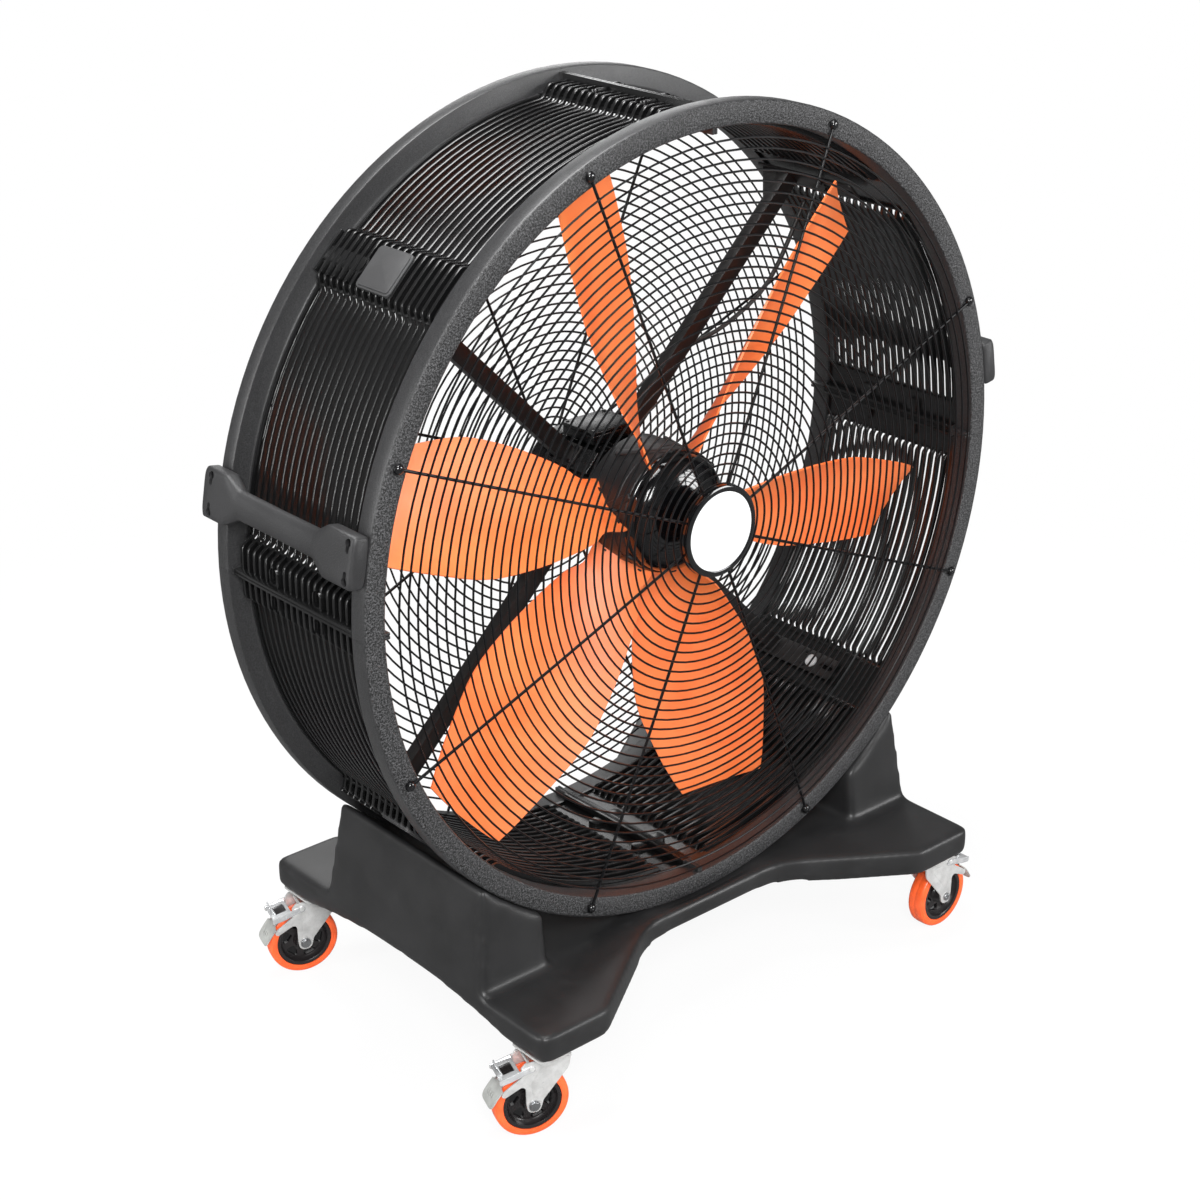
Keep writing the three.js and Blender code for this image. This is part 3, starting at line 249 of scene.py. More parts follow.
class Recipe:
    """A material, with the few nodes that the finishes are mixed from."""

    def __init__(self, name):
        self.material = bpy.data.materials.new(f"fan_{name}")
        self.material.use_nodes = True
        self.tree = self.material.node_tree
        self.shader = self.tree.nodes["Principled BSDF"]
        self.place = self.node("ShaderNodeTexCoord", output="Object")

    def node(self, kind, settings=None, inputs=None, output=0):
        made = self.tree.nodes.new(kind)
        for name, value in (settings or {}).items():
            setattr(made, name, value)
        for name, value in (inputs or {}).items():
            self.feed(made.inputs[name], value)
        return Tone(self, made.outputs[output])

    def feed(self, socket, value):
        if isinstance(value, Tone):
            self.tree.links.new(value.socket, socket)
        elif socket.type == "VECTOR" and isinstance(value, (int, float)):
            socket.default_value = (value, value, value)
        elif socket.type == "RGBA":
            socket.default_value = (*value, 1)
        else:
            socket.default_value = value

    def stretched(self, x, y, z):
        return self.node("ShaderNodeMapping", inputs={"Vector": self.place, "Scale": (x, y, z)})

    def noise(self, scale, detail=2, rough=0.5, place=None):
        return self.node("ShaderNodeTexNoise", inputs={
            "Vector": place or self.place, "Scale": scale, "Detail": detail, "Roughness": rough})

    def cells(self, scale, feature="F1"):
        return self.node("ShaderNodeTexVoronoi", {"feature": feature},
                         {"Vector": self.place, "Scale": scale}, output="Distance")

    def remap(self, value, low, high, to_low=0.0, to_high=1.0):
        return self.node("ShaderNodeMapRange", {"clamp": True}, {
            "Value": value, "From Min": low, "From Max": high, "To Min": to_low, "To Max": to_high})

    def mix(self, factor, one, other):
        sockets = {0: factor, 6: one, 7: other}
        return self.node("ShaderNodeMix", {"data_type": "RGBA"}, sockets, output=2)

    def clouded(self, cloud, colour, dark, light):
        """The colour between two shifts of it, as the cloud has it."""
        return self.mix(self.remap(cloud, 0.35, 0.65), shifted(colour, dark), shifted(colour, light))

    def axis(self, name, place=None):
        return self.node("ShaderNodeSeparateXYZ", inputs={"Vector": place or self.place}, output=name)

    def bump(self, height, strength, depth):
        return self.node("ShaderNodeBump", inputs={
            "Height": height, "Strength": strength, "Distance": depth})

    def shade(self, sockets):
        for name, value in sockets.items():
            self.feed(self.shader.inputs[name], value)
        return self.material


def shifted(colour, by):
    """The colour made lighter or darker by a factor."""
    return tuple(min(part * by, 1) for part in colour)


def moulded(name, colour, rough=0.45, grain=900, depth=0.0004, strength=0.35, mottle=0.35, coat=0.0):
    """Moulded plastic: a fine moulded grain, cloudy colour and rubbed patches."""
    mix = Recipe(name)
    cloud = mix.noise(5, 4, 0.6)
    fine = mix.noise(grain, 3, 0.6)
    rubbed = mix.remap(mix.noise(38, 6, 0.7), 0.56, 0.75)
    tint = mix.clouded(cloud, colour, 1 - mottle / 2, 1 + mottle / 2)
    return mix.shade({
        "Base Color": mix.mix(rubbed * 0.3, tint, shifted(colour, 1.7)),
        "Roughness": mix.remap(cloud, 0.3, 0.7, rough - 0.05, rough + 0.05) + rubbed * 0.07,
        "Coat Weight": coat,
        "Coat Roughness": 0.12,
        "Normal": mix.bump(fine, strength, depth),
    })


def drum_plastic(colours):
    """Black satin ribs between finely grained bands, and a coarse speckle on the rims' faces."""
    mix = Recipe("drum_plastic")
    depth = mix.node("ShaderNodeMath", {"operation": "ABSOLUTE"}, {0: mix.axis("Y")})
    face = mix.remap(depth, *RIM_FACE_DEPTH)
    band = mix.remap(depth, *RIM_BAND_DEPTH)
    speckle = mix.remap(mix.noise(340, 2, 0.7), 0.44, 0.66)
    pits = mix.remap(mix.cells(300), 0.1, 0.62)
    fine = mix.noise(650, 3, 0.65)
    cloud = mix.remap(mix.noise(6, 4, 0.6), 0.35, 0.65)
    scuffs = mix.remap(mix.noise(90, 5, 0.75), 0.62, 0.8)
    black = colours.drum
    rib = mix.mix(scuffs * 0.4, shifted(black, 0.2), shifted(black, 0.9))
    grained = mix.mix(mix.remap(fine, 0.4, 0.66), shifted(black, 0.4), shifted(black, 1.7))
    worn = mix.mix(cloud * 0.3, grained, shifted(black, 0.7))
    flecked = mix.mix(speckle, shifted(black, 0.26), shifted(black, 3.1))
    relief = fine * (0.15 + band * 0.5 - face * 0.4) + (pits + speckle) * face
    return mix.shade({
        "Base Color": mix.mix(face, mix.mix(band, rib, worn), flecked),
        "Roughness": mix.remap(cloud, 0, 1, 0.2, 0.27) + band * 0.15 + face * 0.1,
        "Normal": mix.bump(relief, 0.6, 0.0007),
    })


def base_plastic(colours):
    """Rotomoulded skin: satin, slightly wavy, with scattered pin marks."""
    mix = Recipe("base_plastic")
    wave = mix.noise(11, 3, 0.5)
    grain = mix.noise(1100, 3, 0.6)
    pins = mix.remap(mix.cells(42), 0.015, 0.03, 1, 0)
    dust = mix.remap(mix.noise(24, 6, 0.72), 0.55, 0.78)
    tint = mix.clouded(wave, colours.base, 0.85, 1.15)
    return mix.shade({
        "Base Color": mix.mix(dust * 0.22 + pins * 0.25, tint, shifted(colours.base, 3)),
        "Roughness": mix.remap(wave, 0.3, 0.7, 0.36, 0.43) + dust * 0.08,
        "Specular IOR Level": 0.42,
        "Normal": mix.bump(grain * 0.5 + wave * 0.8 - pins, 0.32, 0.0009),
    })


def wire_coat(colours):
    """Dipped wire: a glossy coat with small runs."""
    mix = Recipe("guard_wire")
    runs = mix.noise(160, 3, 0.6)
    return mix.shade({
        "Base Color": mix.mix(mix.remap(runs, 0.5, 0.8), colours.wire, shifted(colours.wire, 2)),
        "Roughness": mix.remap(runs, 0.3, 0.7, 0.28, 0.38),
        "Specular IOR Level": 0.25,
        "Normal": mix.bump(runs, 0.15, 0.0004),
    })


def gloss_black(colours):
    """Polished moulding with hairline scratches and an orange-peel ripple."""
    mix = Recipe("gloss_black")
    peel = mix.noise(75, 2, 0.4)
    hair = mix.remap(mix.noise(220, 5, 0.8, mix.stretched(1, 9, 1)), 0.62, 0.7)
    return mix.shade({
        "Base Color": mix.mix(hair * 0.25, colours.gloss, shifted(colours.gloss, 5)),
        "Roughness": mix.remap(peel, 0.3, 0.7, 0.09, 0.15) + hair * 0.12,
        "Coat Weight": 0.5,
        "Coat Roughness": 0.05,
        "Normal": mix.bump(peel, 0.12, 0.0006),
    })


def disc_white(colours):
    """Bare enamelled disc: clean white with the faintest unevenness."""
    mix = Recipe("badge_white")
    cloud = mix.noise(30, 4, 0.6)
    fine = mix.noise(1600, 2, 0.5)
    return mix.shade({
        "Base Color": mix.mix(mix.remap(cloud, 0.3, 0.7), shifted(colours.disc, 0.975), colours.disc),
        "Roughness": mix.remap(cloud, 0.3, 0.7, 0.3, 0.38),
        "Normal": mix.bump(fine, 0.06, 0.0002),
    })


def blade_orange(colours):
    """Translucent-looking orange plastic: flow lines along the blade, and a painted sheen, cloudy
    patches of pale orange that stand in for light on the blades.
    """
    mix = Recipe("blade_orange")
    flow = mix.noise(26, 5, 0.65, mix.stretched(1, 0.35, 1))
    painted_sheen = mix.remap(mix.noise(7, 3, 0.5), 0.35, 0.7)
    fine = mix.noise(1300, 2, 0.6)
    marks = mix.remap(mix.noise(150, 5, 0.8), 0.66, 0.76)
    # The cloudy patches mixed towards the pale orange are painted sheen; the flow lines add a little of
    # it as real moulding lines.
    tint = mix.mix(painted_sheen * 0.55 + mix.remap(flow, 0.4, 0.7) * 0.15, colours.blade, colours.blade_pale)
    return mix.shade({
        "Base Color": mix.mix(marks * 0.25, tint, shifted(colours.blade_pale, 1.15)),
        "Roughness": mix.remap(flow, 0.3, 0.7, 0.36, 0.46),
        "Normal": mix.bump(fine * 0.4 + flow, 0.14, 0.0006),
    })


def cast_metal(name, colour, rough, grain, strength=0.4, metallic=0.3):
    """Painted casting: sand-cast texture under enamel, with dusty patches."""
    mix = Recipe(name)
    sand = mix.noise(grain, 4, 0.65)
    dust = mix.remap(mix.noise(16, 6, 0.7), 0.5, 0.75)
    return mix.shade({
        "Base Color": mix.mix(dust * 0.3, colour, shifted(colour, 2.6)),
        "Metallic": metallic,
        "Roughness": mix.remap(sand, 0.3, 0.7, rough - 0.06, rough + 0.08) + dust * 0.08,
        "Normal": mix.bump(sand, strength, 0.0006),
    })


def bright_metal(name, colour, rough, streak=(1, 1, 1), patina=0.5, metallic=1.0):
    """Plated or turned metal: fine drawn lines, cloudy plating and dull spots."""
    mix = Recipe(name)
    drawn = mix.noise(520, 3, 0.6, mix.stretched(*streak))
    spots = mix.remap(mix.noise(210, 5, 0.7), 0.6, 0.72)
    tint = mix.clouded(mix.noise(60, 4, 0.6), colour, 0.86, 1.1)
    return mix.shade({
        "Base Color": mix.mix(spots * patina, tint, shifted(colour, 0.5)),
        "Metallic": metallic,
        "Roughness": mix.remap(drawn, 0.3, 0.7, rough - 0.05, rough + 0.07) + spots * 0.15,
        "Normal": mix.bump(drawn, 0.12, 0.0003),
    })


def tyre_rubber(colours):
    """Cast polyurethane: waxy, slightly cloudy, with ground-in dirt on the tread."""
    mix = Recipe("tyre_orange")
    cloud = mix.noise(45, 4, 0.6)
    dirt = mix.remap(mix.noise(130, 6, 0.75), 0.56, 0.72)
    fine = mix.noise(1400, 2, 0.5)
    tint = mix.clouded(cloud, colours.tyre, 0.88, 1.08)
    return mix.shade({
        "Base Color": mix.mix(dirt * 0.22, tint, (0.25, 0.06, 0.02)),
        "Roughness": mix.remap(cloud, 0.3, 0.7, 0.28, 0.38) + dirt * 0.15,
        "Normal": mix.bump(fine * 0.5 + cloud, 0.12, 0.0004),
    })


def winding_copper():
    """Varnished copper winding: turns laid side by side."""
    mix = Recipe("winding")
    turns = mix.node("ShaderNodeTexWave", {"bands_direction": "Y"}, {
        "Vector": mix.place, "Scale": 260, "Distortion": 1.5, "Detail": 2})
    varnish = mix.noise(50, 4, 0.6)
    return mix.shade({
        "Base Color": mix.mix(mix.remap(varnish, 0.4, 0.7), (0.35, 0.12, 0.05), (0.17, 0.06, 0.03)),
        "Metallic": 0.7,
        "Roughness": mix.remap(varnish, 0.3, 0.7, 0.25, 0.4),
        "Normal": mix.bump(turns, 0.5, 0.0006),
    })


FINISHES = {}


def make_finishes(colours):
    """All of the fan's materials, by the record's slot or, for small pieces, by their own name."""
    for material in (
        drum_plastic(colours), base_plastic(colours), wire_coat(colours), gloss_black(colours),
        disc_white(colours), blade_orange(colours), tyre_rubber(colours), winding_copper(),
        moulded("handle_plastic", colours.handle, 0.5, 420, 0.0009, 0.7),
        moulded("core_black", colours.core, 0.28, 1300, 0.0003, 0.2, coat=0.2),
        moulded("cover_grey", colours.cover, 0.36, 520, 0.0005, 0.8),
        moulded("cable_black", (0.012, 0.012, 0.012), 0.5, 700, 0.0005, 0.3),
        moulded("plug_grey", (0.42, 0.43, 0.44), 0.45, 800, 0.0004, 0.3, 0.15),
        cast_metal("hub_grey", colours.hub, 0.48, 700, 0.35, 0.25),
        cast_metal("motor_paint", colours.motor, 0.27, 340, 0.35, 0.2),
        cast_metal("strut_paint", colours.strut, 0.4, 850, 0.3, 0.2),
        bright_metal("steel", (0.5, 0.51, 0.52), 0.3, (1, 6, 1)),
        bright_metal("zinc", colours.zinc, 0.32, patina=0.12, metallic=0.45),
        bright_metal("pedal_chrome", (0.74, 0.75, 0.76), 0.2, (1, 1, 5), 0.4, 0.6),
        bright_metal("bolt_black", (0.03, 0.03, 0.032), 0.34, (1, 1, 1), 0.2),
        bright_metal("shoe_steel", (0.5, 0.51, 0.49), 0.4, patina=0.35, metallic=0.45),
        bright_metal("capacitor_can", (0.55, 0.56, 0.57), 0.34, (1, 8, 1)),
    ):
        FINISHES[material.name.removeprefix("fan_")] = material


# ---------------------------------------------------------------------------------------------
# Shapes
# ---------------------------------------------------------------------------------------------

def eased(share):
    """A share from 0 to 1 with a soft start and end."""
    share = min(max(share, 0), 1)
    return share * share * (3 - 2 * share)


def evenly(start, end, steps):
    """Stops at equal steps from start to end."""
    return [start + (end - start) * k / steps for k in range(steps + 1)]


def add_loop(mesh, points):
    """A closed loop of edges through the points."""
    verts = [mesh.verts.new(point) for point in points]
    return [mesh.edges.new(pair) for pair in zip(verts, verts[1:] + verts[:1])]


def tidy(mesh, weld=0.01):
    """Merges doubles and turns the faces outwards."""
    bmesh.ops.remove_doubles(mesh, verts=mesh.verts[:], dist=weld)
    bmesh.ops.recalc_face_normals(mesh, faces=mesh.faces[:])
    return mesh


def softened(mesh, edges, width, segments=2):
    """Bevels the edges."""
    bmesh.ops.bevel(mesh, geom=edges, offset=width, offset_type="OFFSET", segments=segments,
                    profile=0.5, affect="EDGES", material=-1, clamp_overlap=True)
    return mesh


def placed(target, shape, *places):
    """Copies a shape into another at each place, or once where it lies."""
    for place in places or (Matrix.Identity(4),):
        copy = bpy.data.meshes.new("copy")
        shape.to_mesh(copy)
        copy.transform(place)
        if place.determinant() < 0:
            copy.flip_normals()
        target.from_mesh(copy)
        bpy.data.meshes.remove(copy)
    shape.free()
    return target


def at(x, y, z):
    return Matrix.Translation((x, y, z))


def spun(degrees, axis):
    return Matrix.Rotation(math.radians(degrees), 4, axis)


def around(angle, radius=0, y=0, tangent=0):
    """A place on the drum: X points outwards, Y along the axis and Z anticlockwise, seen from ahead."""
    return spun(-angle, "Y") @ at(radius, y, tangent)


# Turns what stands along Z outwards, along X.
OUTWARDS = spun(90, "Y")


def turned(profile, steps=48):
    """A body turned about Y from (radius, y) points."""
    mesh = bmesh.new()
    verts = [mesh.verts.new((radius, y, 0)) for radius, y in profile]
    edges = [mesh.edges.new(pair) for pair in zip(verts, verts[1:])]
    bmesh.ops.spin(mesh, geom=verts + edges, axis=(0, -1, 0), cent=(0, 0, 0), dvec=(0, 0, 0),
                   angle=2 * math.pi, steps=steps, use_merge=True, use_duplicate=False)
    return tidy(mesh, 0.002)


def barrel(radius, half, steps):
    """A plain cylinder about Y."""
    return turned([(0, -half), (radius, -half), (radius, half), (0, half)], steps)


def ring_wire(radius, y, wire, steps, sides=6):
    """A wire ring round Y."""
    profile = [(radius + wire * math.cos(2 * math.pi * k / sides),
                y + wire * math.sin(2 * math.pi * k / sides)) for k in range(sides + 1)]
    return turned(profile, steps)


def swept(mesh, section, stops):
    """A closed (radius, y) section turned about the drum's axis through the angles, ends closed."""
    first = math.radians(stops[0])
    loop = add_loop(mesh, [(r * math.cos(first), y, r * math.sin(first)) for r, y in section])
    start = loop
    for before, after in zip(stops, stops[1:]):
        grown = bmesh.ops.spin(mesh, geom=loop, axis=(0, -1, 0), cent=(0, 0, 0), dvec=(0, 0, 0),
                               angle=math.radians(after - before), steps=1, use_merge=False,
                               use_duplicate=False)
        loop = [part for part in grown["geom_last"] if isinstance(part, bmesh.types.BMEdge)]
    for end in (start, loop):
        bmesh.ops.edgeloop_fill(mesh, edges=end)
    return mesh


def loft(sections):
    """A closed skin over loops of points, each bridged to the next, with both ends filled."""
    mesh = bmesh.new()
    loops = [add_loop(mesh, points) for points in sections]
    for one, other in zip(loops, loops[1:]):
        bmesh.ops.bridge_loops(mesh, edges=one + other)
    for end in (loops[0], loops[-1]):
        bmesh.ops.edgeloop_fill(mesh, edges=end)
    return tidy(mesh, 0.001)


def rod(path, radius, sides=8, up=Vector((0, 1, 0))):
    """A round bar along a path."""
    sections = []
    for k, here in enumerate(path):
        ahead = (path[min(k + 1, len(path) - 1)] - path[max(k - 1, 0)]).normalized()
        side = ahead.cross(up).normalized()
        rise = side.cross(ahead)
        sections.append([here + side * (radius * math.cos(2 * math.pi * i / sides))
                         + rise * (radius * math.sin(2 * math.pi * i / sides)) for i in range(sides)])
    return loft(sections)


def prism(outline, run, edge=0.0, segments=2):
    """A flat outline of points pushed along a vector, with softened edges round both faces."""
    mesh = bmesh.new()
    face = mesh.faces.new([mesh.verts.new(point) for point in outline])
    grown = bmesh.ops.extrude_face_region(mesh, geom=[face])
    moved = [part for part in grown["geom"] if isinstance(part, bmesh.types.BMVert)]
    bmesh.ops.translate(mesh, verts=moved, vec=run)
    tidy(mesh, 0.001)
    if edge:
        run = Vector(run).normalized()
        flat = [e for e in mesh.edges
                if abs((e.verts[0].co - e.verts[1].co).normalized().dot(run)) < 0.1]
        softened(mesh, flat, edge, segments)
    return mesh


def block(x, y, z, edge=1.0, segments=2):
    """A box about the origin with softened edges."""
    mesh = bmesh.new()
    bmesh.ops.create_cube(mesh, size=1, matrix=Matrix.Diagonal((x, y, z, 1)))
    return softened(mesh, mesh.edges[:], edge, segments) if edge else mesh


def stud(radius, height, sides=6, edge=0.6):
    """A bolt head or peg along Z, standing on the origin."""
    mesh = bmesh.new()
    bmesh.ops.create_cone(mesh, cap_ends=True, segments=sides, radius1=radius, radius2=radius,
                          depth=height, matrix=at(0, 0, height / 2))
    return softened(mesh, mesh.edges[:], edge, 2) if edge else mesh


def pan_head(radius, height):
    """A domed screw head with a cross recess's hollow, facing -Y from the origin."""
    return turned([(0, 0), (radius, 0), (radius, -height * 0.35), (radius * 0.86, -height * 0.75),
                   (radius * 0.5, -height), (radius * 0.22, -height * 0.98),
                   (radius * 0.12, -height * 0.55), (0, -height * 0.5)], 20)


def rounded(corners, steps=5):
    """Corners of [x, y, radius] as an outline with rounded corners."""
    outline = []
    for k, (x, y, radius) in enumerate(corners):
        here = Vector((x, y))
        before = Vector(corners[k - 1][:2]) - here
        after = Vector(corners[(k + 1) % len(corners)][:2]) - here
        if radius <= 0:
            outline.append(here)
            continue
        half = before.angle(after) / 2
        reach = min(radius / math.tan(half), before.length * 0.49, after.length * 0.49)
        radius = reach * math.tan(half)
        inwards = (before.normalized() + after.normalized()).normalized()
        centre = here + inwards * (radius / math.sin(half))
        start = here + before.normalized() * reach - centre
        end = here + after.normalized() * reach - centre
        sweep = start.angle_signed(end)
        for step in range(steps + 1):
            angle = -sweep * step / steps
            outline.append(centre + Matrix.Rotation(angle, 2) @ start)
    return outline


def rectangle(width, height, corner, steps=4):
    """A rounded rectangle about the origin."""
    return rounded([(sx * width / 2, sy * height / 2, corner)
                    for sx, sy in ((-1, -1), (1, -1), (1, 1), (-1, 1))], steps)


def slab(thick, width, length, corner, edge=1.0):
    """A plate across X with rounded corners, its Y width and Z length about the origin."""
    outline = [(-thick / 2, y, z) for y, z in rectangle(width, length, corner)]
    return prism(outline, (thick, 0, 0), edge)


def oval(y, middle, thick, height, power, count=28):
    """A loop across Y: an oval at power 2, a rounded rectangle at higher powers."""
    points = []
    for k in range(count):
        angle = 2 * math.pi * (k + 0.5) / count
        u, v = math.cos(angle), math.sin(angle)
        points.append((middle + thick / 2 * math.copysign(abs(u) ** (2 / power), u), y,
                       height / 2 * math.copysign(abs(v) ** (2 / power), v)))
    return points


def as_object(shape, name="rough"):
    """An object in the scene that holds the shape."""
    data = bpy.data.meshes.new(name)
    shape.to_mesh(data)
    shape.free()
    made = bpy.data.objects.new(name, data)
    bpy.context.scene.collection.objects.link(made)
    return made


def discarded(*objects):
    for old in objects:
        data = old.data
        bpy.data.objects.remove(old)
        bpy.data.meshes.remove(data)


def combined(shape, tool, operation="DIFFERENCE"):
    """One closed shape cut from or joined to another."""
    body, cutter = as_object(shape), as_object(tool)
    change = body.modifiers.new("combine", "BOOLEAN")
    change.operation = operation
    change.solver = "EXACT"
    change.object = cutter
    bpy.context.view_layer.update()
    result = bmesh.new()
    result.from_object(body, bpy.context.evaluated_depsgraph_get())
    discarded(body, cutter)
    return result


def remoulded(shape, voxel, softness):
    """The shape as one seamless skin with rounded edges and corners."""
    body = as_object(shape)
    change = body.modifiers.new("skin", "REMESH")
    change.mode = "VOXEL"
    change.voxel_size = voxel
    bpy.context.view_layer.update()
    result = bmesh.new()
    result.from_object(body, bpy.context.evaluated_depsgraph_get())
    discarded(body)
    for _ in range(softness):
        bmesh.ops.smooth_vert(result, verts=result.verts[:], factor=0.5, use_axis_x=True,
                              use_axis_y=True, use_axis_z=True)
    return result


def finished(name, shape, body, finish, replaced=(), place=FROM_AXIS, crease=38):
    """The piece: its mesh in the shared frame, smooth up to the crease angle, dressed and riding."""
    bmesh.ops.transform(shape, matrix=place, verts=shape.verts[:])
    for face in shape.faces:
        face.smooth = True
    limit = math.radians(crease)
    for edge in shape.edges:
        if len(edge.link_faces) != 2 or edge.calc_face_angle(0) > limit:
            edge.smooth = False
    made = as_object(shape, name)
    made.data.materials.append(FINISHES[finish])
    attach(made, body)
    if replaced:
        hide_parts(*replaced)
    return made


def copied(form, place):
    """A copy of the shape, at a place."""
    copy = form.copy()
    bmesh.ops.transform(copy, matrix=place, verts=copy.verts[:])
    return copy


def bolted(target, bolt, place):
    """Adds a bolt, its washer standing on the place."""
    washer, head = bolt
    placed(target, stud(*washer), place)
    placed(target, stud(*head), place @ at(0, 0, washer[1]))


def redressed(node, finish):
    """A solid that stays gets its better material."""
    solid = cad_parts[node]
    if not solid.material_slots:
        solid.data.materials.append(FINISHES[finish])
    for slot in solid.material_slots:
        slot.material = FINISHES[finish]


# ---------------------------------------------------------------------------------------------
# Drum
# ---------------------------------------------------------------------------------------------

def lift_at(angle):
    """How far the ribs step outwards at an angle of the drum."""
    away = abs((angle + 22.5) % 45 - 22.5)
    return JOG_RISE * eased((JOG_FAR - away) / (JOG_FAR - JOG_NEAR))


def rim_section(side, band, lip):
    """Section of a rim: face, rounded corners, outer band, web and a lip towards the ribs."""
    face = BACK * side
    edge = face - side * band
    return [
        (RIM_INNER - RIM_WALL, lip), (RIM_INNER - RIM_WALL, face - side * 3),
        (RIM_INNER - RIM_WALL + 1, face - side), (RIM_INNER - RIM_WALL + 3, face),
        (DRUM_RADIUS - 5, face), (DRUM_RADIUS - 2.5, face - side * 0.6),
        (DRUM_RADIUS - 0.7, face - side * 2.4), (DRUM_RADIUS, face - side * 5),
        (DRUM_RADIUS, edge + side * 3.2), (DRUM_RADIUS - 0.9, edge + side), (DRUM_RADIUS - 3.2, edge),
        (RIM_INNER + 4, edge - side * 1.5), (RIM_INNER + 1, edge - side * 3.5), (RIM_INNER, lip),
    ]


def rib_form(rib_width):
    """One rib of a quadrant, stepped outwards at the joints and at the strut's cover."""
    jog = evenly(JOG_NEAR, JOG_FAR, 5)
    half = [0.3, 2.2, *jog, *evenly(9, 36, 9), *(45 - a for a in reversed(jog)), 43]
    rib = bmesh.new()
    wide = rib_width / 2
    section = [(RIB_MIDDLE + u, wide * v) for u, v in (
        (5, -0.62), (5, 0.62), (4.1, 0.98), (-4, 0.98), (-5, 0.6), (-5, -0.6), (-4, -0.98),
        (4.1, -0.98))]
    swept(rib, section, [*half, 45, *(90 - a for a in reversed(half))])
    for vert in rib.verts:
        radius = math.hypot(vert.co.x, vert.co.z)
        lift = lift_at(math.degrees(math.atan2(vert.co.z, vert.co.x)))
        vert.co.x *= 1 + lift / radius
        vert.co.z *= 1 + lift / radius
    return rib


def add_joint(mesh, angle, side):
    """A quadrant's half of a joint: the flange, the rail inside it and two hollow pockets."""
    placed(mesh, block(41, 377, 5, 1.2), around(angle, FLANGE_MIDDLE, 0, side * 2.8))
    placed(mesh, block(12, 318, 9, 2), around(angle, 634, 2, side * 5))
    for y in FLANGE_BOLTS_Y:
        hollow = placed(bmesh.new(), slab(20, 15, 24, 5, 0), at(8, 0, side * 4))
        pocket = combined(slab(30, 23, 32, 8, 1.8), hollow)
        placed(mesh, pocket, around(angle, FLANGE_MIDDLE, y, side * 18))


def quadrant_form(rib_width):
    """A quarter of the drum from 0 to 90 degrees: rims, ribs, liners and halves of two joints."""
    mesh = bmesh.new()
    rows = [RIB_FIRST + RIB_PITCH * k for k in range(RIB_ROWS)]
    rim_stops = evenly(SEAM_ANGLE, 90 - SEAM_ANGLE, 36)
    swept(mesh, rim_section(-1, FRONT_BAND, rows[0] - RIM_LIP), rim_stops)
    swept(mesh, rim_section(1, REAR_BAND, rows[-1] + RIM_LIP), rim_stops)
    placed(mesh, rib_form(rib_width), *(at(0, y, 0) for y in rows))
    for start, end in ((SEAM_ANGLE, 4.7), (40.5, 49.5), (85.3, 90 - SEAM_ANGLE)):
        liner = [(RIM_INNER, -154), (RIM_INNER + 3, -154), (RIM_INNER + 3, 158), (RIM_INNER, 158)]
        swept(mesh, liner, evenly(start, end, 8))
    add_joint(mesh, 0, 1)
    add_joint(mesh, 90, -1)
    # The bar from the strut's cover to the rear band, crossed by ribs.
    placed(mesh, slab(10, 112, 32, 13, 1.2), around(45, 653.4, BAR_Y, 4))
    placed(mesh, slab(5, 106, 25, 10, 1.4), around(45, 658.9, BAR_Y, 4))
    for y in rows[-BAR_ROWS:]:
        placed(mesh, block(14, rib_width, 74, 2), around(45, 656.5, y + 9))
    for tangent in (-43, 43):
        placed(mesh, block(8, 318, 6, 2), around(45, 640, 2, tangent))
    return tidy(mesh, 0.002)


def cover_form():
    """The stepped cover over a strut's screws, at 0 degrees."""
    mesh = bmesh.new()
    for thick, width, length, corner, radius in ((10, 82, 74, 9, 656.5), (4, 75, 67, 7, 661.7)):
        placed(mesh, slab(thick, width, length, corner, 1), around(0, radius, 12, 2))
    return mesh


class DRUMFAN_OT_add_drum(bpy.types.Operator):
    """Adds the drum's four moulded quadrants and the bolts of their flanges"""

    bl_idname = "drum_fan.add_drum"
    bl_label = "Drum"

    def execute(self, context):
        form = quadrant_form(context.scene.fan_sizes.rib_width / MM)
        for k, quadrant in enumerate(QUADRANTS):
            finished(f"drum_moulding_{quadrant}", copied(form, around(90 * k)), "frame",
                     "drum_plastic", replaced=(f"drum_{quadrant}",))
        form.free()
        bolts = bmesh.new()
        for k in range(4):
            for y in FLANGE_BOLTS_Y:
                for side, turn in ((-1, 180), (1, 0)):
                    place = around(90 * k, 649, y, side * 5.4) @ spun(turn, "Y")
                    bolted(bolts, FLANGE_BOLT, place)
        finished("drum_flange_bolts", bolts, "frame", "bolt_black")
        covers = placed(bmesh.new(), cover_form(), *(around(45 + 90 * k) for k in range(4)))
        finished("drum_strut_covers", covers, "frame", "cover_grey")
        return {"FINISHED"}


# ---------------------------------------------------------------------------------------------
# Guards and badge
# ---------------------------------------------------------------------------------------------

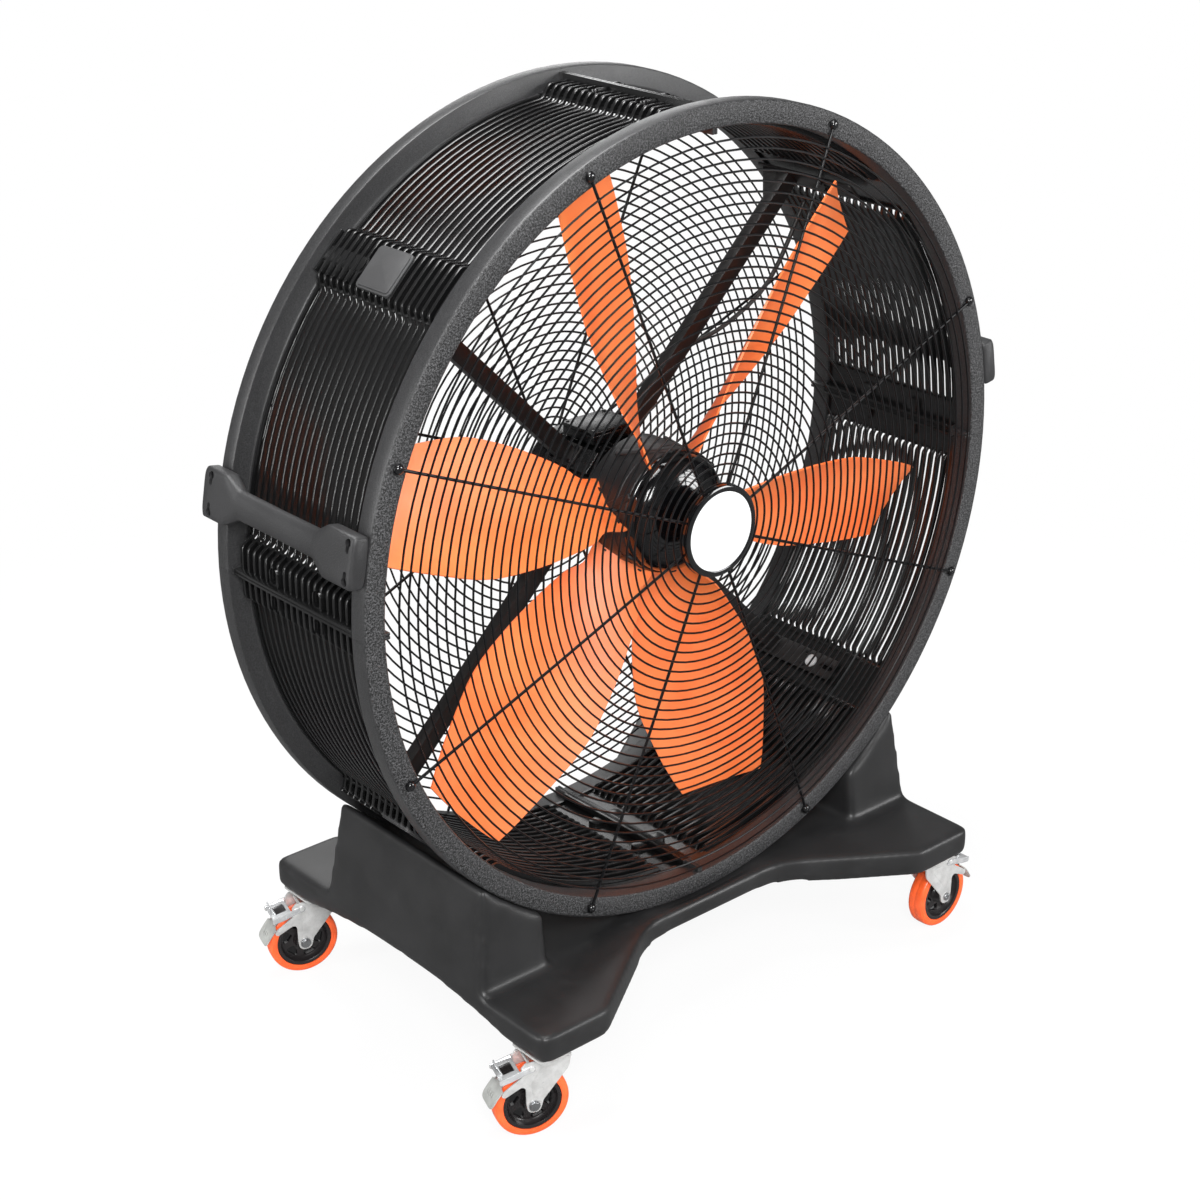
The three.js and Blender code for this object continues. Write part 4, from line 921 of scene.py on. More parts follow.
def guard_forms(sizes):
    """Rings and spokes of a guard, and its screws, facing -Y from the plane y = 0."""
    wires, screws = bmesh.new(), bmesh.new()
    spoke = sizes.spoke_wire / MM / 2
    wire = sizes.ring_wire / MM / 2
    dome = sizes.guard_dome / MM

    def bulge(radius):
        share = min(radius / RIM_INNER, 1)
        return dome * (1 - share * share)

    for k in range(sizes.ring_count):
        radius = (sizes.ring_first + sizes.ring_pitch * k) / MM
        y = -GUARD_GAP - 2 * spoke - wire * 0.8 - bulge(radius)
        placed(wires, ring_wire(radius, y, wire, 52 + 2 * k))
    for radius in HEART_RINGS:
        y = -GUARD_GAP - 2 * spoke - bulge(radius)
        placed(wires, ring_wire(radius, y, wire, 48))
    for k in range(SPOKE_COUNT):
        angle = SPOKE_FIRST + 360 / SPOKE_COUNT * k
        path = [Vector((radius, -GUARD_GAP - spoke - bulge(radius), 0)) for radius in SPOKE_STOPS]
        placed(wires, rod(path, spoke, 8), around(angle))
        eyelet = ring_wire(6.6, -GUARD_GAP - spoke * 0.9, spoke * 0.9, 20)
        placed(wires, eyelet, around(angle, EYELET_RADIUS))
        placed(screws, pan_head(7.2, 5.2), around(angle, EYELET_RADIUS, -2.8))
        shank = turned([(0, 0.5), (4, 0.5), (4, -3), (0, -3)], 12)
        placed(screws, shank, around(angle, EYELET_RADIUS))
    return tidy(wires, 0.0005), screws


class DRUMFAN_OT_add_guards(bpy.types.Operator):
    """Adds the front and rear wire guards with their screws"""

    bl_idname = "drum_fan.add_guards"
    bl_label = "Guards"

    def execute(self, context):
        wires, screws = guard_forms(context.scene.fan_sizes)
        for side, lie in (("front", at(0, FRONT, 0)), ("rear", at(0, BACK, 0) @ spun(180, "Z"))):
            finished(f"{side}_guard_wires", copied(wires, lie), "frame", "guard_wire",
                     replaced=(f"{side}_guard",), crease=60)
            finished(f"{side}_guard_screws", copied(screws, lie), "frame", "gloss_black", crease=60)
        wires.free()
        screws.free()
        return {"FINISHED"}


class DRUMFAN_OT_add_badge(bpy.types.Operator):
    """Adds the round plate in the middle of the front guard, with its bare disc"""

    bl_idname = "drum_fan.add_badge"
    bl_label = "Badge"

    def execute(self, context):
        plate = turned([
            (0, -209.6), (70, -209.6), (75.4, -210.4), (77, -212.4), (77, -218.6), (76.2, -220.9),
            (74.2, -222), (68.6, -222), (67.3, -221.4), (66.9, -220.2), (0, -220.2),
        ], 96)
        finished("badge_ring", plate, "frame", "gloss_black", replaced=("badge_plate",))
        disc = turned([
            (0, -220.3), (66.3, -220.3), (66.4, -221.2), (65.6, -221.7), (30, -221.9), (0, -221.95),
        ], 96)
        finished("badge_face", disc, "frame", "badge_white", replaced=("badge_disc",))
        return {"FINISHED"}


# ---------------------------------------------------------------------------------------------
# Impeller
# ---------------------------------------------------------------------------------------------

def station_at(share):
    """Chord and pitch of a blade at a share of its length, on a smooth curve through the stations."""
    stations = BLADE_STATIONS
    k = 0
    while k < len(stations) - 2 and share > stations[k + 1][0]:
        k += 1
    span = stations[k + 1][0] - stations[k][0]
    t = (share - stations[k][0]) / span

    def slope(index, column):
        low, high = stations[max(index - 1, 0)], stations[min(index + 1, len(stations) - 1)]
        return (high[column] - low[column]) / (high[0] - low[0])

    values = []
    for column in (1, 2):
        start, end = stations[k][column], stations[k + 1][column]
        values.append((2 * t**3 - 3 * t**2 + 1) * start + (3 * t**2 - 2 * t**3) * end
                      + span * ((t**3 - 2 * t**2 + t) * slope(k, column)
                                + (t**3 - t**2) * slope(k + 1, column)))
    return values


def blade_form(thickness):
    """A blade along +X, twisted and cambered, with a slanted tip and a shallow dimple."""
    mesh = bmesh.new()
    bmesh.ops.create_grid(mesh, x_segments=48, y_segments=14, size=1)
    reach = max(vert.co.x for vert in mesh.verts)
    for vert in mesh.verts:
        share = ((vert.co.x / reach + 1) / 2) ** 1.35
        along = vert.co.y / reach / 2
        chord, pitch = station_at(share)
        past_root = eased(share / ROOT_SHARE)
        chord += ROOT_FLARE * (1 - past_root)
        chord -= NECK_CUT * past_root * (1 - eased((share - ROOT_SHARE) / NECK_SHARE))
        cosine, sine = math.cos(math.radians(pitch)), math.sin(math.radians(pitch))
        lift = CAMBER * chord * (1 - 4 * along * along)
        radius = BLADE_ROOT + share * (BLADE_TIP - BLADE_ROOT)
        radius += TIP_CUT * along * eased(5 * share - 4)
        dimple = 1 - math.hypot(radius - DIMPLE_RADIUS, along * chord) / DIMPLE_SIZE
        lift -= DIMPLE_DEPTH * eased(dimple)
        angle = (along * chord * cosine + lift * sine) / radius
        vert.co = (radius * math.cos(angle), BLADE_Y - along * chord * sine + lift * cosine,
                   radius * math.sin(angle))
    bmesh.ops.recalc_face_normals(mesh, faces=mesh.faces[:])
    bmesh.ops.solidify(mesh, geom=mesh.faces[:], thickness=thickness)
    return tidy(mesh, 0.001)


class DRUMFAN_OT_add_impeller(bpy.types.Operator):
    """Adds the six blades, the cast hub and its domed cap"""

    bl_idname = "drum_fan.add_impeller"
    bl_label = "Impeller"

    def execute(self, context):
        form = blade_form(context.scene.fan_sizes.blade_thickness / MM)
        angles = [BLADE_FIRST + 360 / BLADE_COUNT * k for k in range(BLADE_COUNT)]
        for k, angle in enumerate(angles):
            finished(f"impeller_blade_{k + 1}", copied(form, around(angle)), "impeller",
                     "blade_orange", replaced=(f"blade_{k + 1}",))
        form.free()
        hub = turned([
            (14.3, -97), (60, -97), (66, -99), (95, -99), (97, -104.6), (103.5, -105), (105, -103.4),
            (105, -88), (104, -87), (104, -82), (105, -81), (105, -12), (103, -8.4), (95, -8.2),
            (95, -62), (32, -62), (32, -30), (14.3, -30), (14.3, -97),
        ], 72)
        for angle in angles:
            root = placed(bmesh.new(), block(7, 96, 13, 3, 3), spun(34, "X"))
            placed(hub, root, around(angle, 103, BLADE_Y, 0))
            for y in (-28, 28):
                lie = around(angle, 106, BLADE_Y + y, -y * 0.67)
                placed(hub, stud(4, 2.6, 6, 0.4), lie @ OUTWARDS)
        finished("impeller_hub", hub, "impeller", "hub_grey", replaced=("hub",))
        arc = [(math.cos(math.radians(9 * k)), math.sin(math.radians(9 * k))) for k in range(11)]
        cap = turned([
            (104, -105.3), (104, -108), (103, -110.6), (101, -112),
            *((99.5 * across, -113 - 44 * out) for across, out in arc[:-1]), (0, -157), (0, -154),
            *((96.5 * across, -111 - 42.8 * out) for across, out in arc[-2::-1]), (96.5, -105.3),
            (104, -105.3),
        ], 96)
        finished("impeller_cap", cap, "impeller", "gloss_black", replaced=("hub_cap",))
        return {"FINISHED"}


# ---------------------------------------------------------------------------------------------
# Motor
# ---------------------------------------------------------------------------------------------

def motor_form():
    """Finned housing with the struts' lugs on the diagonals and eight short studs round it."""
    mesh = turned([(66, 18), (73, 18), (74, 19), (74, 129), (73, 130), (66, 130), (66, 18)], 72)
    for side in range(4):
        for k in range(7):
            angle = 90 * side + 45 + 18 + 54 * (k + 0.5) / 7
            placed(mesh, block(12, 110, 2.6, 0.9), around(angle, 77, 74))
        placed(mesh, block(18, 108, 42, 2.2, 3), around(90 * side + 45, 79, 74))
        for y in (36, 112):
            placed(mesh, stud(4, 8, 12, 0.5), around(90 * side + 22, 79, y) @ OUTWARDS)
    return mesh


def shield_form(face, inner):
    """End shield between two planes: a dished disc with ribs and bolt ears."""
    side = 1 if inner > face else -1
    mesh = turned([
        (17, face + side * 3), (24, face), (40, face), (44, face + side * 3), (64, face + side * 5),
        (72, face + side * 7), (74, face + side * 9), (74, inner), (31.5, inner),
        (31.5, face + side * 5), (17, face + side * 5), (17, face + side * 3),
    ], 72)
    for k in range(8):
        placed(mesh, block(26, 5, 4, 1), around(45 * k, 55, face + side * 4))
    for k in range(4):
        lie = around(45 + 90 * k, 67, face + side * 6) @ spun(side * 90, "X")
        placed(mesh, stud(5, 5, 6, 0.5), lie)
    return mesh


def lead_points():
    """The lead's route in the shared frame, on a smooth curve through its stations."""
    route = [Vector(point) for point in LEAD_ROUTE]
    ends = [route[0], *route, route[-1]]
    points = []
    for k in range(len(route) - 1):
        a, b, c, d = ends[k:k + 4]
        for step in range(4):
            t = step / 4
            points.append(0.5 * (2 * b + (c - a) * t + (2 * a - 5 * b + 4 * c - d) * t * t
                                 + (3 * b - a - 3 * c + d) * t ** 3))
    return [FROM_AXIS @ point for point in (*points, route[-1])]


class DRUMFAN_OT_add_motor(bpy.types.Operator):
    """Adds the motor: housing, end shields, cowl, terminal box and lead"""

    bl_idname = "drum_fan.add_motor"
    bl_label = "Motor"

    def execute(self, context):
        finished("motor_casing", motor_form(), "frame", "motor_paint", replaced=("motor_housing",))
        finished("motor_shield_front", shield_form(3.7, 17.7), "frame", "motor_paint",
                 replaced=("end_shield_front",))
        finished("motor_shield_rear", shield_form(144.3, 130.3), "frame", "motor_paint",
                 replaced=("end_shield_rear",))
        cowl = turned([
            (71.5, 144.6), (74, 144.6), (74, 170), (72, 176), (67, 180), (60, 180.6), (26, 180.6),
            (26, 178), (60, 178), (66, 177.4), (69.5, 174.5), (71.5, 169), (71.5, 144.6),
        ], 72)
        for radius in (8, 17):
            placed(cowl, ring_wire(radius, 179.4, 1.3, 28))
        for k in range(4):
            bar = rod([Vector((4, 179.4, 0)), Vector((27, 179.4, 0))], 1.3, 6)
            placed(cowl, bar, around(45 * k + 22), around(45 * k + 202))
            placed(cowl, stud(3.6, 2.4, 16, 0.5), around(45 + 90 * k, 74, 152) @ OUTWARDS)
        finished("motor_fan_cowl", cowl, "frame", "motor_paint", replaced=("motor_cowl",))

        box = placed(bmesh.new(), block(92, 78, 17, 3, 3), at(0, 74, 92))
        placed(box, block(95, 81, 6, 2, 2), at(0, 74, 103.6))
        for x in (-40, 40):
            for y in (-33, 33):
                placed(box, stud(3.4, 1.6, 16, 0.4), at(x, 74 + y, 106.4))
        gland = at(45, 104, 95.3) @ OUTWARDS
        placed(box, stud(8, 7, 6, 0.7), gland)
        placed(box, stud(6.8, 13, 20, 1.6), gland)
        finished("motor_terminal_box", box, "frame", "motor_paint", replaced=("terminal_box",))

        points = lead_points()
        curve = bpy.data.curves.new("motor_supply_lead", "CURVE")
        curve.dimensions = "3D"
        curve.bevel_depth = 4 * MM
        curve.bevel_resolution = 3
        curve.use_fill_caps = True
        spline = curve.splines.new("POLY")
        spline.points.add(len(points) - 1)
        for place, point in zip(spline.points, points):
            place.co = (*point, 1)
        curve.materials.append(FINISHES["cable_black"])
        lead = bpy.data.objects.new("motor_supply_lead", curve)
        context.scene.collection.objects.link(lead)
        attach(lead, "frame")
        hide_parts("motor_lead")
        length = sum((b - a).length for a, b in zip(points, points[1:]))
        for node, finish in (("stator", "winding"), ("rotor", "steel"), ("motor_shaft", "steel"),
                             ("bearing_front", "steel"), ("bearing_rear", "steel"),
                             ("capacitor", "capacitor_can"), ("cooling_fan", "core_black")):
            redressed(node, finish)
        return {"FINISHED"}


# ---------------------------------------------------------------------------------------------
# Struts
# ---------------------------------------------------------------------------------------------

def strut_form():
    """A strut along +X: a folded channel, its foot on the motor and its slotted bracket."""
    front, back, half, wall = STRUT_Y - 11, STRUT_Y + 11, 15, 3
    outline = [(STRUT_START, y, z) for y, z in (
        (front, -half), (back, -half), (back, wall - half), (front + wall, wall - half),
        (front + wall, half - wall), (back, half - wall), (back, half), (front, half))]
    mesh = prism(outline, (BRACKET_FACE - 1 - STRUT_START, 0, 0), 0)
    softened(mesh, [e for e in mesh.edges if abs(e.verts[0].co.x - e.verts[1].co.x) > 100], 0.9)
    bracket = slab(4, 220, 40, 7, 0.6)
    for y, z, width, length in ((-92, 0, 30, 9), (-50, 0, 22, 12), (44, 0, 24, 9), (92, 0, 13, 13)):
        opening = slab(20, width, length, length / 2 - 0.1, 0)
        bracket = combined(bracket, placed(bmesh.new(), opening, at(0, y, z)))
    placed(mesh, bracket, at(BRACKET_FACE - 2, 40, 0))
    placed(mesh, slab(4, 60, 40, 6, 0.6), at(STRUT_START + 2.2, STRUT_Y, 0))
    for side in (-1, 1):
        gusset = [(BRACKET_FACE - x, y, side * 14) for x, y in ((3, 96), (3, 138), (60, 96))]
        placed(mesh, prism(gusset, (0, 0, -side * 3), 0))
    return mesh


class DRUMFAN_OT_add_struts(bpy.types.Operator):
    """Adds the four struts between the motor and the drum, with their bolts and one plug"""

    bl_idname = "drum_fan.add_struts"
    bl_label = "Struts"

    def execute(self, context):
        form = strut_form()
        bolts = bmesh.new()
        for k, quadrant in enumerate(QUADRANTS):
            angle = 45 + 90 * k
            finished(f"strut_channel_{quadrant}", copied(form, around(angle)), "frame",
                     "strut_paint", replaced=(f"strut_{quadrant}",))
            for y, z in ((0, 12), (0, -12), (98, 12), (98, -12)):
                lie = around(angle, BRACKET_FACE - 4, y, z) @ spun(-90, "Y")
                bolted(bolts, BRACKET_BOLT, lie)
            for y in (-22, 22):
                for z in (-13, 13):
                    lie = around(angle, STRUT_START + 4.2, STRUT_Y + y, z) @ OUTWARDS
                    placed(bolts, stud(4.6, 4, 6, 0.5), lie)
        form.free()
        finished("strut_bolts", bolts, "frame", "bolt_black")
        plug = turned([
            (0, 0), (11.5, 0), (11.5, 3.2), (10.4, 4.6), (7.6, 4.8), (7.2, 3.6), (0, 3.4)], 32)
        plug = placed(bmesh.new(), plug, around(-45, BRACKET_FACE - 4, -15) @ spun(90, "Z"))
        finished("bracket_plug", tidy(plug, 0.001), "frame", "plug_grey")
        return {"FINISHED"}


# ---------------------------------------------------------------------------------------------
# Handles
# ---------------------------------------------------------------------------------------------

def handle_form():
    """A handle along +X: two blocks and an oval grip in one moulding, with keyhole screw pockets."""
    seat, top = DRUM_RADIUS + 0.3, DRUM_RADIUS + 29
    middle, thick = (seat + top) / 2, top - seat
    grip = top - 14.6

    def half(face, end, inward):
        """Stations from a block's outer face past its inner end to the grip."""
        return [
            (face + inward * 0.2, middle, thick - 7, 72, 4),
            (face + inward * 1.6, middle, thick - 3, 76, 5),
            (face + inward * 5, middle, thick, 80, 6), (end - inward * 10, middle, thick, 80, 6),
            (end - inward * 2, middle, thick - 0.3, 79, 6), (end + inward, grip + 0.4, 28.4, 76, 5),
            (end + inward * 26, grip, 27.4, 48, 2.4), (end + inward * 30, grip, 27, 46, 2.2),
        ]

    stations = [*half(FRONT, FRONT + 72, 1), (0, grip, 27, 45, 2.1),
                *reversed(half(BACK, BACK - 58, -1))]
    mesh = loft([oval(*station) for station in stations])
    for y, z in HANDLE_SCREWS:
        hole = placed(bmesh.new(), stud(6.4, 30, 20, 0), at(top - 9, y, z) @ OUTWARDS)
        mesh = combined(mesh, hole)
        slot = slab(30, 7, 20, 3.2, 0)
        slot = placed(bmesh.new(), slot, at(top - 9, y, z - math.copysign(6, z)))
        mesh = combined(mesh, slot)
    return mesh


class DRUMFAN_OT_add_handles(bpy.types.Operator):
    """Adds the two handles with their screws"""

    bl_idname = "drum_fan.add_handles"
    bl_label = "Handles"

    def execute(self, context):
        form = handle_form()
        screws = bmesh.new()
        for side, angle in (("right", HANDLE_ANGLE), ("left", 180 - HANDLE_ANGLE)):
            finished(f"carry_handle_{side}", copied(form, around(angle)), "frame",
                     "handle_plastic", replaced=(f"handle_{side}",))
            for y, z in HANDLE_SCREWS:
                lie = around(angle, DRUM_RADIUS + 20, y, z) @ OUTWARDS
                placed(screws, stud(5.2, 4.4, 6, 0.5), lie)
        form.free()
        finished("handle_screws", screws, "frame", "bolt_black")
        return {"FINISHED"}


# ---------------------------------------------------------------------------------------------
# Base
# ---------------------------------------------------------------------------------------------

def deck_outline():
    """The deck from above: four feet joined by diagonals to a narrow waist."""
    quarter = [(500, 367, 19), (367, 367, 34), (155, 225, 150)]
    corners = []
    for sx, sy in ((1, -1), (-1, -1), (-1, 1), (1, 1)):
        side = [(sx * x, sy * y, radius) for x, y, radius in quarter]
        corners += side[::-1] if sx * sy > 0 else side
    return rounded(corners, 6)


def base_form(voxel, softness):
    """The cradle base as one rotomoulded skin."""
    deck = prism([(x, y, DECK_BOTTOM) for x, y in deck_outline()], (0, 0, DECK_TOP - DECK_BOTTOM))
    for side in (-1, 1):
        loops = [[(side * x, y, z) for x, y in (
            (TOWER_INNER, -half), (outer, -half), (outer, half), (TOWER_INNER, half))]
            for outer, half, z in ((498, 210, 186), (498, 210, DECK_TOP), (474, 192, 388))]
        deck = combined(deck, loft(loops), "UNION")
    cradle = placed(bmesh.new(), barrel(CRADLE_RADIUS, 210, 180), at(0, 0, AXIS_HEIGHT))
    deck = combined(deck, cradle)
    radius = (ARCH_REACH**2 + ARCH_RISE**2) / (2 * ARCH_RISE)
    arch = placed(bmesh.new(), barrel(radius, 600, 240),
                  at(0, 0, DECK_BOTTOM + ARCH_RISE - radius) @ spun(90, "Z"))
    deck = combined(deck, arch)
    for side in (-1, 1):
        deck = combined(deck, placed(bmesh.new(), block(90, 200, 150, 0), at(side * 426.5, 0, 225)))
    return remoulded(deck, voxel, softness)


class DRUMFAN_OT_add_base(bpy.types.Operator):
    """Adds the moulded base"""

    bl_idname = "drum_fan.add_base"
    bl_label = "Base"

    def execute(self, context):
        sizes = context.scene.fan_sizes
        form = base_form(sizes.base_voxel / MM, sizes.base_softness)
        finished("base_moulding", form, "frame", "base_plastic", replaced=("base",), place=FROM_FLOOR,
                 crease=80)
        return {"FINISHED"}


# ---------------------------------------------------------------------------------------------
# Casters
# ---------------------------------------------------------------------------------------------

def caster_plate():
    """Mounting plate and raceway under it, its seat at z = 0."""
    mesh = placed(bmesh.new(), slab(4, 78, 100, 10, 0.6), at(0, 0, -2.3) @ spun(90, "Y"))
    race = turned([
        (0, -4), (28, -4), (33, -5.6), (34, -8), (31, -9.6), (30, -12), (32, -13.4), (31, -15.6),
        (27, -16.2), (0, -16.2)], 40)
    placed(mesh, race, spun(90, "X"))
    for x in (-38, 38):
        for y in (-27, 27):
            bolted(mesh, PLATE_BOLT, at(x, y, -4.3) @ spun(180, "X"))
    return mesh


def caster_fork():
    """Pressed fork: a dished bridge, two tapering legs with the axle's eyes, and the shoe's arms."""
    top, wall, inside = -16.6, 3.5, 19.7
    outline = rounded([
        (-27, top, 4), (50, top, 5), (57, top - 8, 4), (56, -41, 5), (88, -63, 3), (90, -70, 3),
        (84, -73, 3), (50, -56, 7), (TRAIL + 13, -AXLE_DROP + 4, 20), (TRAIL + 10, -AXLE_DROP - 13, 10),
        (TRAIL - 10, -AXLE_DROP - 13, 10), (TRAIL - 16, -AXLE_DROP + 8, 12), (-23, top - 22, 16)], 5)
    rib_outline = rounded([
        (-10, top - 13, 6), (24, top - 13, 8), (TRAIL + 4, top - 40, 10),
        (TRAIL + 3, -AXLE_DROP + 20, 4), (TRAIL - 7, -AXLE_DROP + 22, 4)], 4)
    mesh = bmesh.new()
    for side in (-1, 1):
        leg = prism([(x, side * inside, z) for x, z in outline], (0, side * wall, 0), 0.8)
        placed(mesh, leg)
        rib = prism([(x, side * (inside + wall), z) for x, z in rib_outline],
                    (0, side * 0.5, 0), 0.3)
        placed(mesh, rib)
    placed(mesh, block(56, 2 * (inside + wall), 4.5, 1.6, 3), at(0, 0, top - 2))
    boss = turned([(0, 0), (22, 0), (22, -1.5), (17, -4), (9, -5), (0, -5)], 32)
    placed(mesh, boss, at(0, 0, top - 2) @ spun(90, "X"))
    pin = turned([(0, -27.4), (3, -27.2), (4.6, -26.2), (4.6, -25.8), (2.5, -25.8), (2.5, 25.8),
                  (4.6, 25.8), (4.6, 26.2), (3, 27.2), (0, 27.4)], 20)
    placed(mesh, pin, at(PIVOT_X, 0, -PIVOT_DROP))
    return tidy(mesh, 0.0005)


def caster_shoe():
    """The curved plate beyond the tyre that the fork's arms carry, hung from a narrow neck."""
    mesh = bmesh.new()
    bmesh.ops.create_grid(mesh, x_segments=40, y_segments=10, size=1)
    reach = max(vert.co.x for vert in mesh.verts)
    wheel = at(TRAIL, 0, -AXLE_DROP)
    for vert in mesh.verts:
        share = (vert.co.x / reach + 1) / 2
        left = min((1 - share) * 44, 9)
        half = 3 + 11 * eased((share - 0.12) / 0.08) + math.sqrt(81 - (9 - left) ** 2)
        vert.co = wheel @ around(43 - 36.4 * share, 65 + 8.5 * share * share) @ Vector(
            (0, vert.co.y / reach * half, 0))
    bmesh.ops.recalc_face_normals(mesh, faces=mesh.faces[:])
    bmesh.ops.solidify(mesh, geom=mesh.faces[:], thickness=2)
    for y in (-7, 0, 7):
        placed(mesh, block(1.2, 1.8, 9, 0.5), wheel @ around(21, 70.3, y))
    return tidy(mesh, 0.0005)


def strip(line, thick, width, edge=0.6):
    """A bent metal strip along an (x, z) line, across Y."""
    upper, lower = [], []
    for k, point in enumerate(line):
        here = Vector(point)
        ahead = Vector(line[min(k + 1, len(line) - 1)]) - Vector(line[max(k - 1, 0)])
        normal = Vector((-ahead.y, ahead.x)).normalized() * thick / 2
        upper.append(here + normal)
        lower.append(here - normal)
    outline = [(x, -width / 2, z) for x, z in upper + lower[::-1]]
    return prism(outline, (0, width, 0), edge)


def caster_pedal():
    """The brake's chrome channel over the fork's arms, with its tab turned up through the window."""
    channel = strip([(19, -3.5), (30, -5.8), (42, -8.6), (52.5, -11.5)], 2.2, 51)
    hole = placed(bmesh.new(), block(19, 27, 30, 0), at(34, 0, -10))
    channel = combined(channel, hole)
    placed(channel, strip([(44, -9.4), (47.4, -4), (50, 2), (53, 9.6)], 2.2, 16, 1))
    for y in (-4.5, 0, 4.5):
        placed(channel, block(1.6, 1.8, 9, 0.5), at(52.7, y, 5) @ spun(21, "Y"))
    cheek_outline = rounded([
        (-7, -6, 6), (-6, 6, 6), (14, 1, 6), (54, -10, 2), (53, -20.5, 4), (30, -15.5, 8),
        (8, -8, 6)], 4)
    for side in (-1, 1):
        cheek = prism([(x, side * 23.7, z) for x, z in cheek_outline], (0, side * 1.9, 0), 0.5)
        placed(channel, cheek)
    return tidy(channel, 0.0005)


def caster_pad():
    """The dark pad under the pedal's window."""
    return placed(bmesh.new(), block(26, 40, 0.8, 0.3), at(33.5, 0, -8.3) @ spun(13.5, "Y"))


def caster_tyre():
    """Cast tyre with round shoulders and a mould line, about Y."""
    return turned([
        (49.3, -15.4), (52, -16), (56.5, -16), (59.5, -15.2), (61.6, -12.6), (62.3, -8), (62.5, -1.1),
        (62.15, -0.5), (62.15, 0.5), (62.5, 1.1), (62.3, 8), (61.6, 12.6), (59.5, 15.2), (56.5, 16),
        (52, 16), (49.3, 15.4), (49.3, -15.4)], 72)


def caster_core():
    """Nylon core with a deep web, six kidney windows and a hub, about Y."""
    mesh = turned([
        (6.3, -19.2), (9, -19.2), (12, -18.8), (14.5, -17), (15.4, -9), (18, -5), (38, -4), (41.5, -8),
        (42.6, -14), (44, -15), (48, -15), (49, -14.2), (49, 14.2), (48, 15), (44, 15), (42.6, 14),
        (41.5, 8), (38, 4), (18, 5), (15.4, 9), (14.5, 17), (12, 18.8), (9, 19.2), (6.3, 19.2),
        (6.3, -19.2)], 72)
    for k in range(6):
        window = rounded([
            ((math.cos(math.radians(a)) * r), (math.sin(math.radians(a)) * r), c)
            for r, a, c in ((38, -23, 7), (38, 20, 4), (20, 14, 3), (27, -17, 4))], 3)
        tool = prism([(x, -30, z) for x, z in window], (0, 60, 0))
        mesh = combined(mesh, placed(bmesh.new(), tool, around(60 * k + 12)))
    return mesh


def caster_painted_shade_web():
    """A web at the bottom of the core's windows, about Y, in gloss black darker than the core: painted
    shade in the windows.
    """
    return turned([(15.6, -1), (41, -1), (41, 1), (15.6, 1), (15.6, -1)], 36)


def caster_axle():
    """Axle with a domed, star-marked head and a nut, about Y."""
    mesh = turned([
        (0, -27.2), (4.4, -27.1), (6.9, -26.2), (7.8, -24.6), (7.8, -23.5), (6, -23.5), (6, 23.5),
        (9.5, 23.5), (9.5, 25.2), (0, 25.2)], 32)
    placed(mesh, stud(8, 2.4, 6, 0.5), at(0, 24.8, 0) @ spun(-90, "X"))
    for k in range(6):
        placed(mesh, block(3.4, 1.2, 1.2, 0.3), around(60 * k, 4.4, -27.1))
    return mesh


class DRUMFAN_OT_add_casters(bpy.types.Operator):
    """Adds the four braked swivel casters"""

    bl_idname = "drum_fan.add_casters"
    bl_label = "Casters"

    def execute(self, context):
        still = Matrix.Identity(4)
        hinge = at(PIVOT_X, 0, -PIVOT_DROP)
        wheel = at(TRAIL, 0, -AXLE_DROP)
        parts = (
            ("plate", caster_plate(), "frame", "zinc", "zinc", "plate", still),
            ("fork", caster_fork(), "swivel", "zinc", "zinc", "fork", still),
            ("brake_shoe", caster_shoe(), "swivel", "shoe_steel", "zinc", None, still),
            ("brake_pedal", caster_pedal(), "pedal", "pedal_chrome", "zinc", "pedal", hinge),
            ("brake_pad", caster_pad(), "pedal", "core_black", "core_black", None, hinge),
            ("tyre", caster_tyre(), "wheel", "tyre_orange", "tyre_orange", "tyre", wheel),
            ("core", caster_core(), "wheel", "core_black", "core_black", "core", wheel),
            # The web's gloss black, darker than the core's nylon, is painted shade at the bottom of the
            # windows.
            ("core_painted_shade_web", caster_painted_shade_web(), "wheel", "gloss_black", "core_black", None, wheel),
            ("axle", caster_axle(), "swivel", "steel", "steel", "axle", wheel),
        )
        for corner, heading in CASTERS.items():
            seat = at(SWIVEL_X if corner.endswith("right") else -SWIVEL_X,
                      SWIVEL_Y if corner.startswith("rear") else -SWIVEL_Y, DECK_BOTTOM)
            turn = spun(heading, "Z")
            for part, form, body, finish, slot, node, lie in parts:
                fixed = body == "frame"
                place = seat @ (still if fixed else turn) @ lie
                finished(f"{corner}_{part}", copied(form, place),
                         body if fixed else f"{corner}_{body}", finish,
                         (f"caster_{corner}_{node}",) if node else (), FROM_FLOOR)
        for part in parts:
            part[1].free()
        return {"FINISHED"}


# ---------------------------------------------------------------------------------------------
# Finishes and studio
# ---------------------------------------------------------------------------------------------

class DRUMFAN_OT_mix_finishes(bpy.types.Operator):
    """Makes the fan's materials"""

    bl_idname = "drum_fan.mix_finishes"
    bl_label = "Finishes"

    def execute(self, context):
        make_finishes(context.scene.fan_colours)
        return {"FINISHED"}


def wired(tree, kind, inputs=None, **settings):
    """The outputs of a new node, its inputs set, or linked where the value is a socket."""
    made = tree.nodes.new(kind)
    for name, value in settings.items():
        setattr(made, name, value)
    for name, value in (inputs or {}).items():
        if isinstance(value, bpy.types.NodeSocket):
            tree.links.new(value, made.inputs[name])
        else:
            made.inputs[name].default_value = value
    return made.outputs


def seen(tree):
    """A factor that is 1 for what the camera sees directly or through something clear."""
    path = wired(tree, "ShaderNodeLightPath")
    rays = {0: path["Is Camera Ray"], 1: path["Is Transmission Ray"]}
    return wired(tree, "ShaderNodeMath", rays, operation="MAXIMUM")[0]


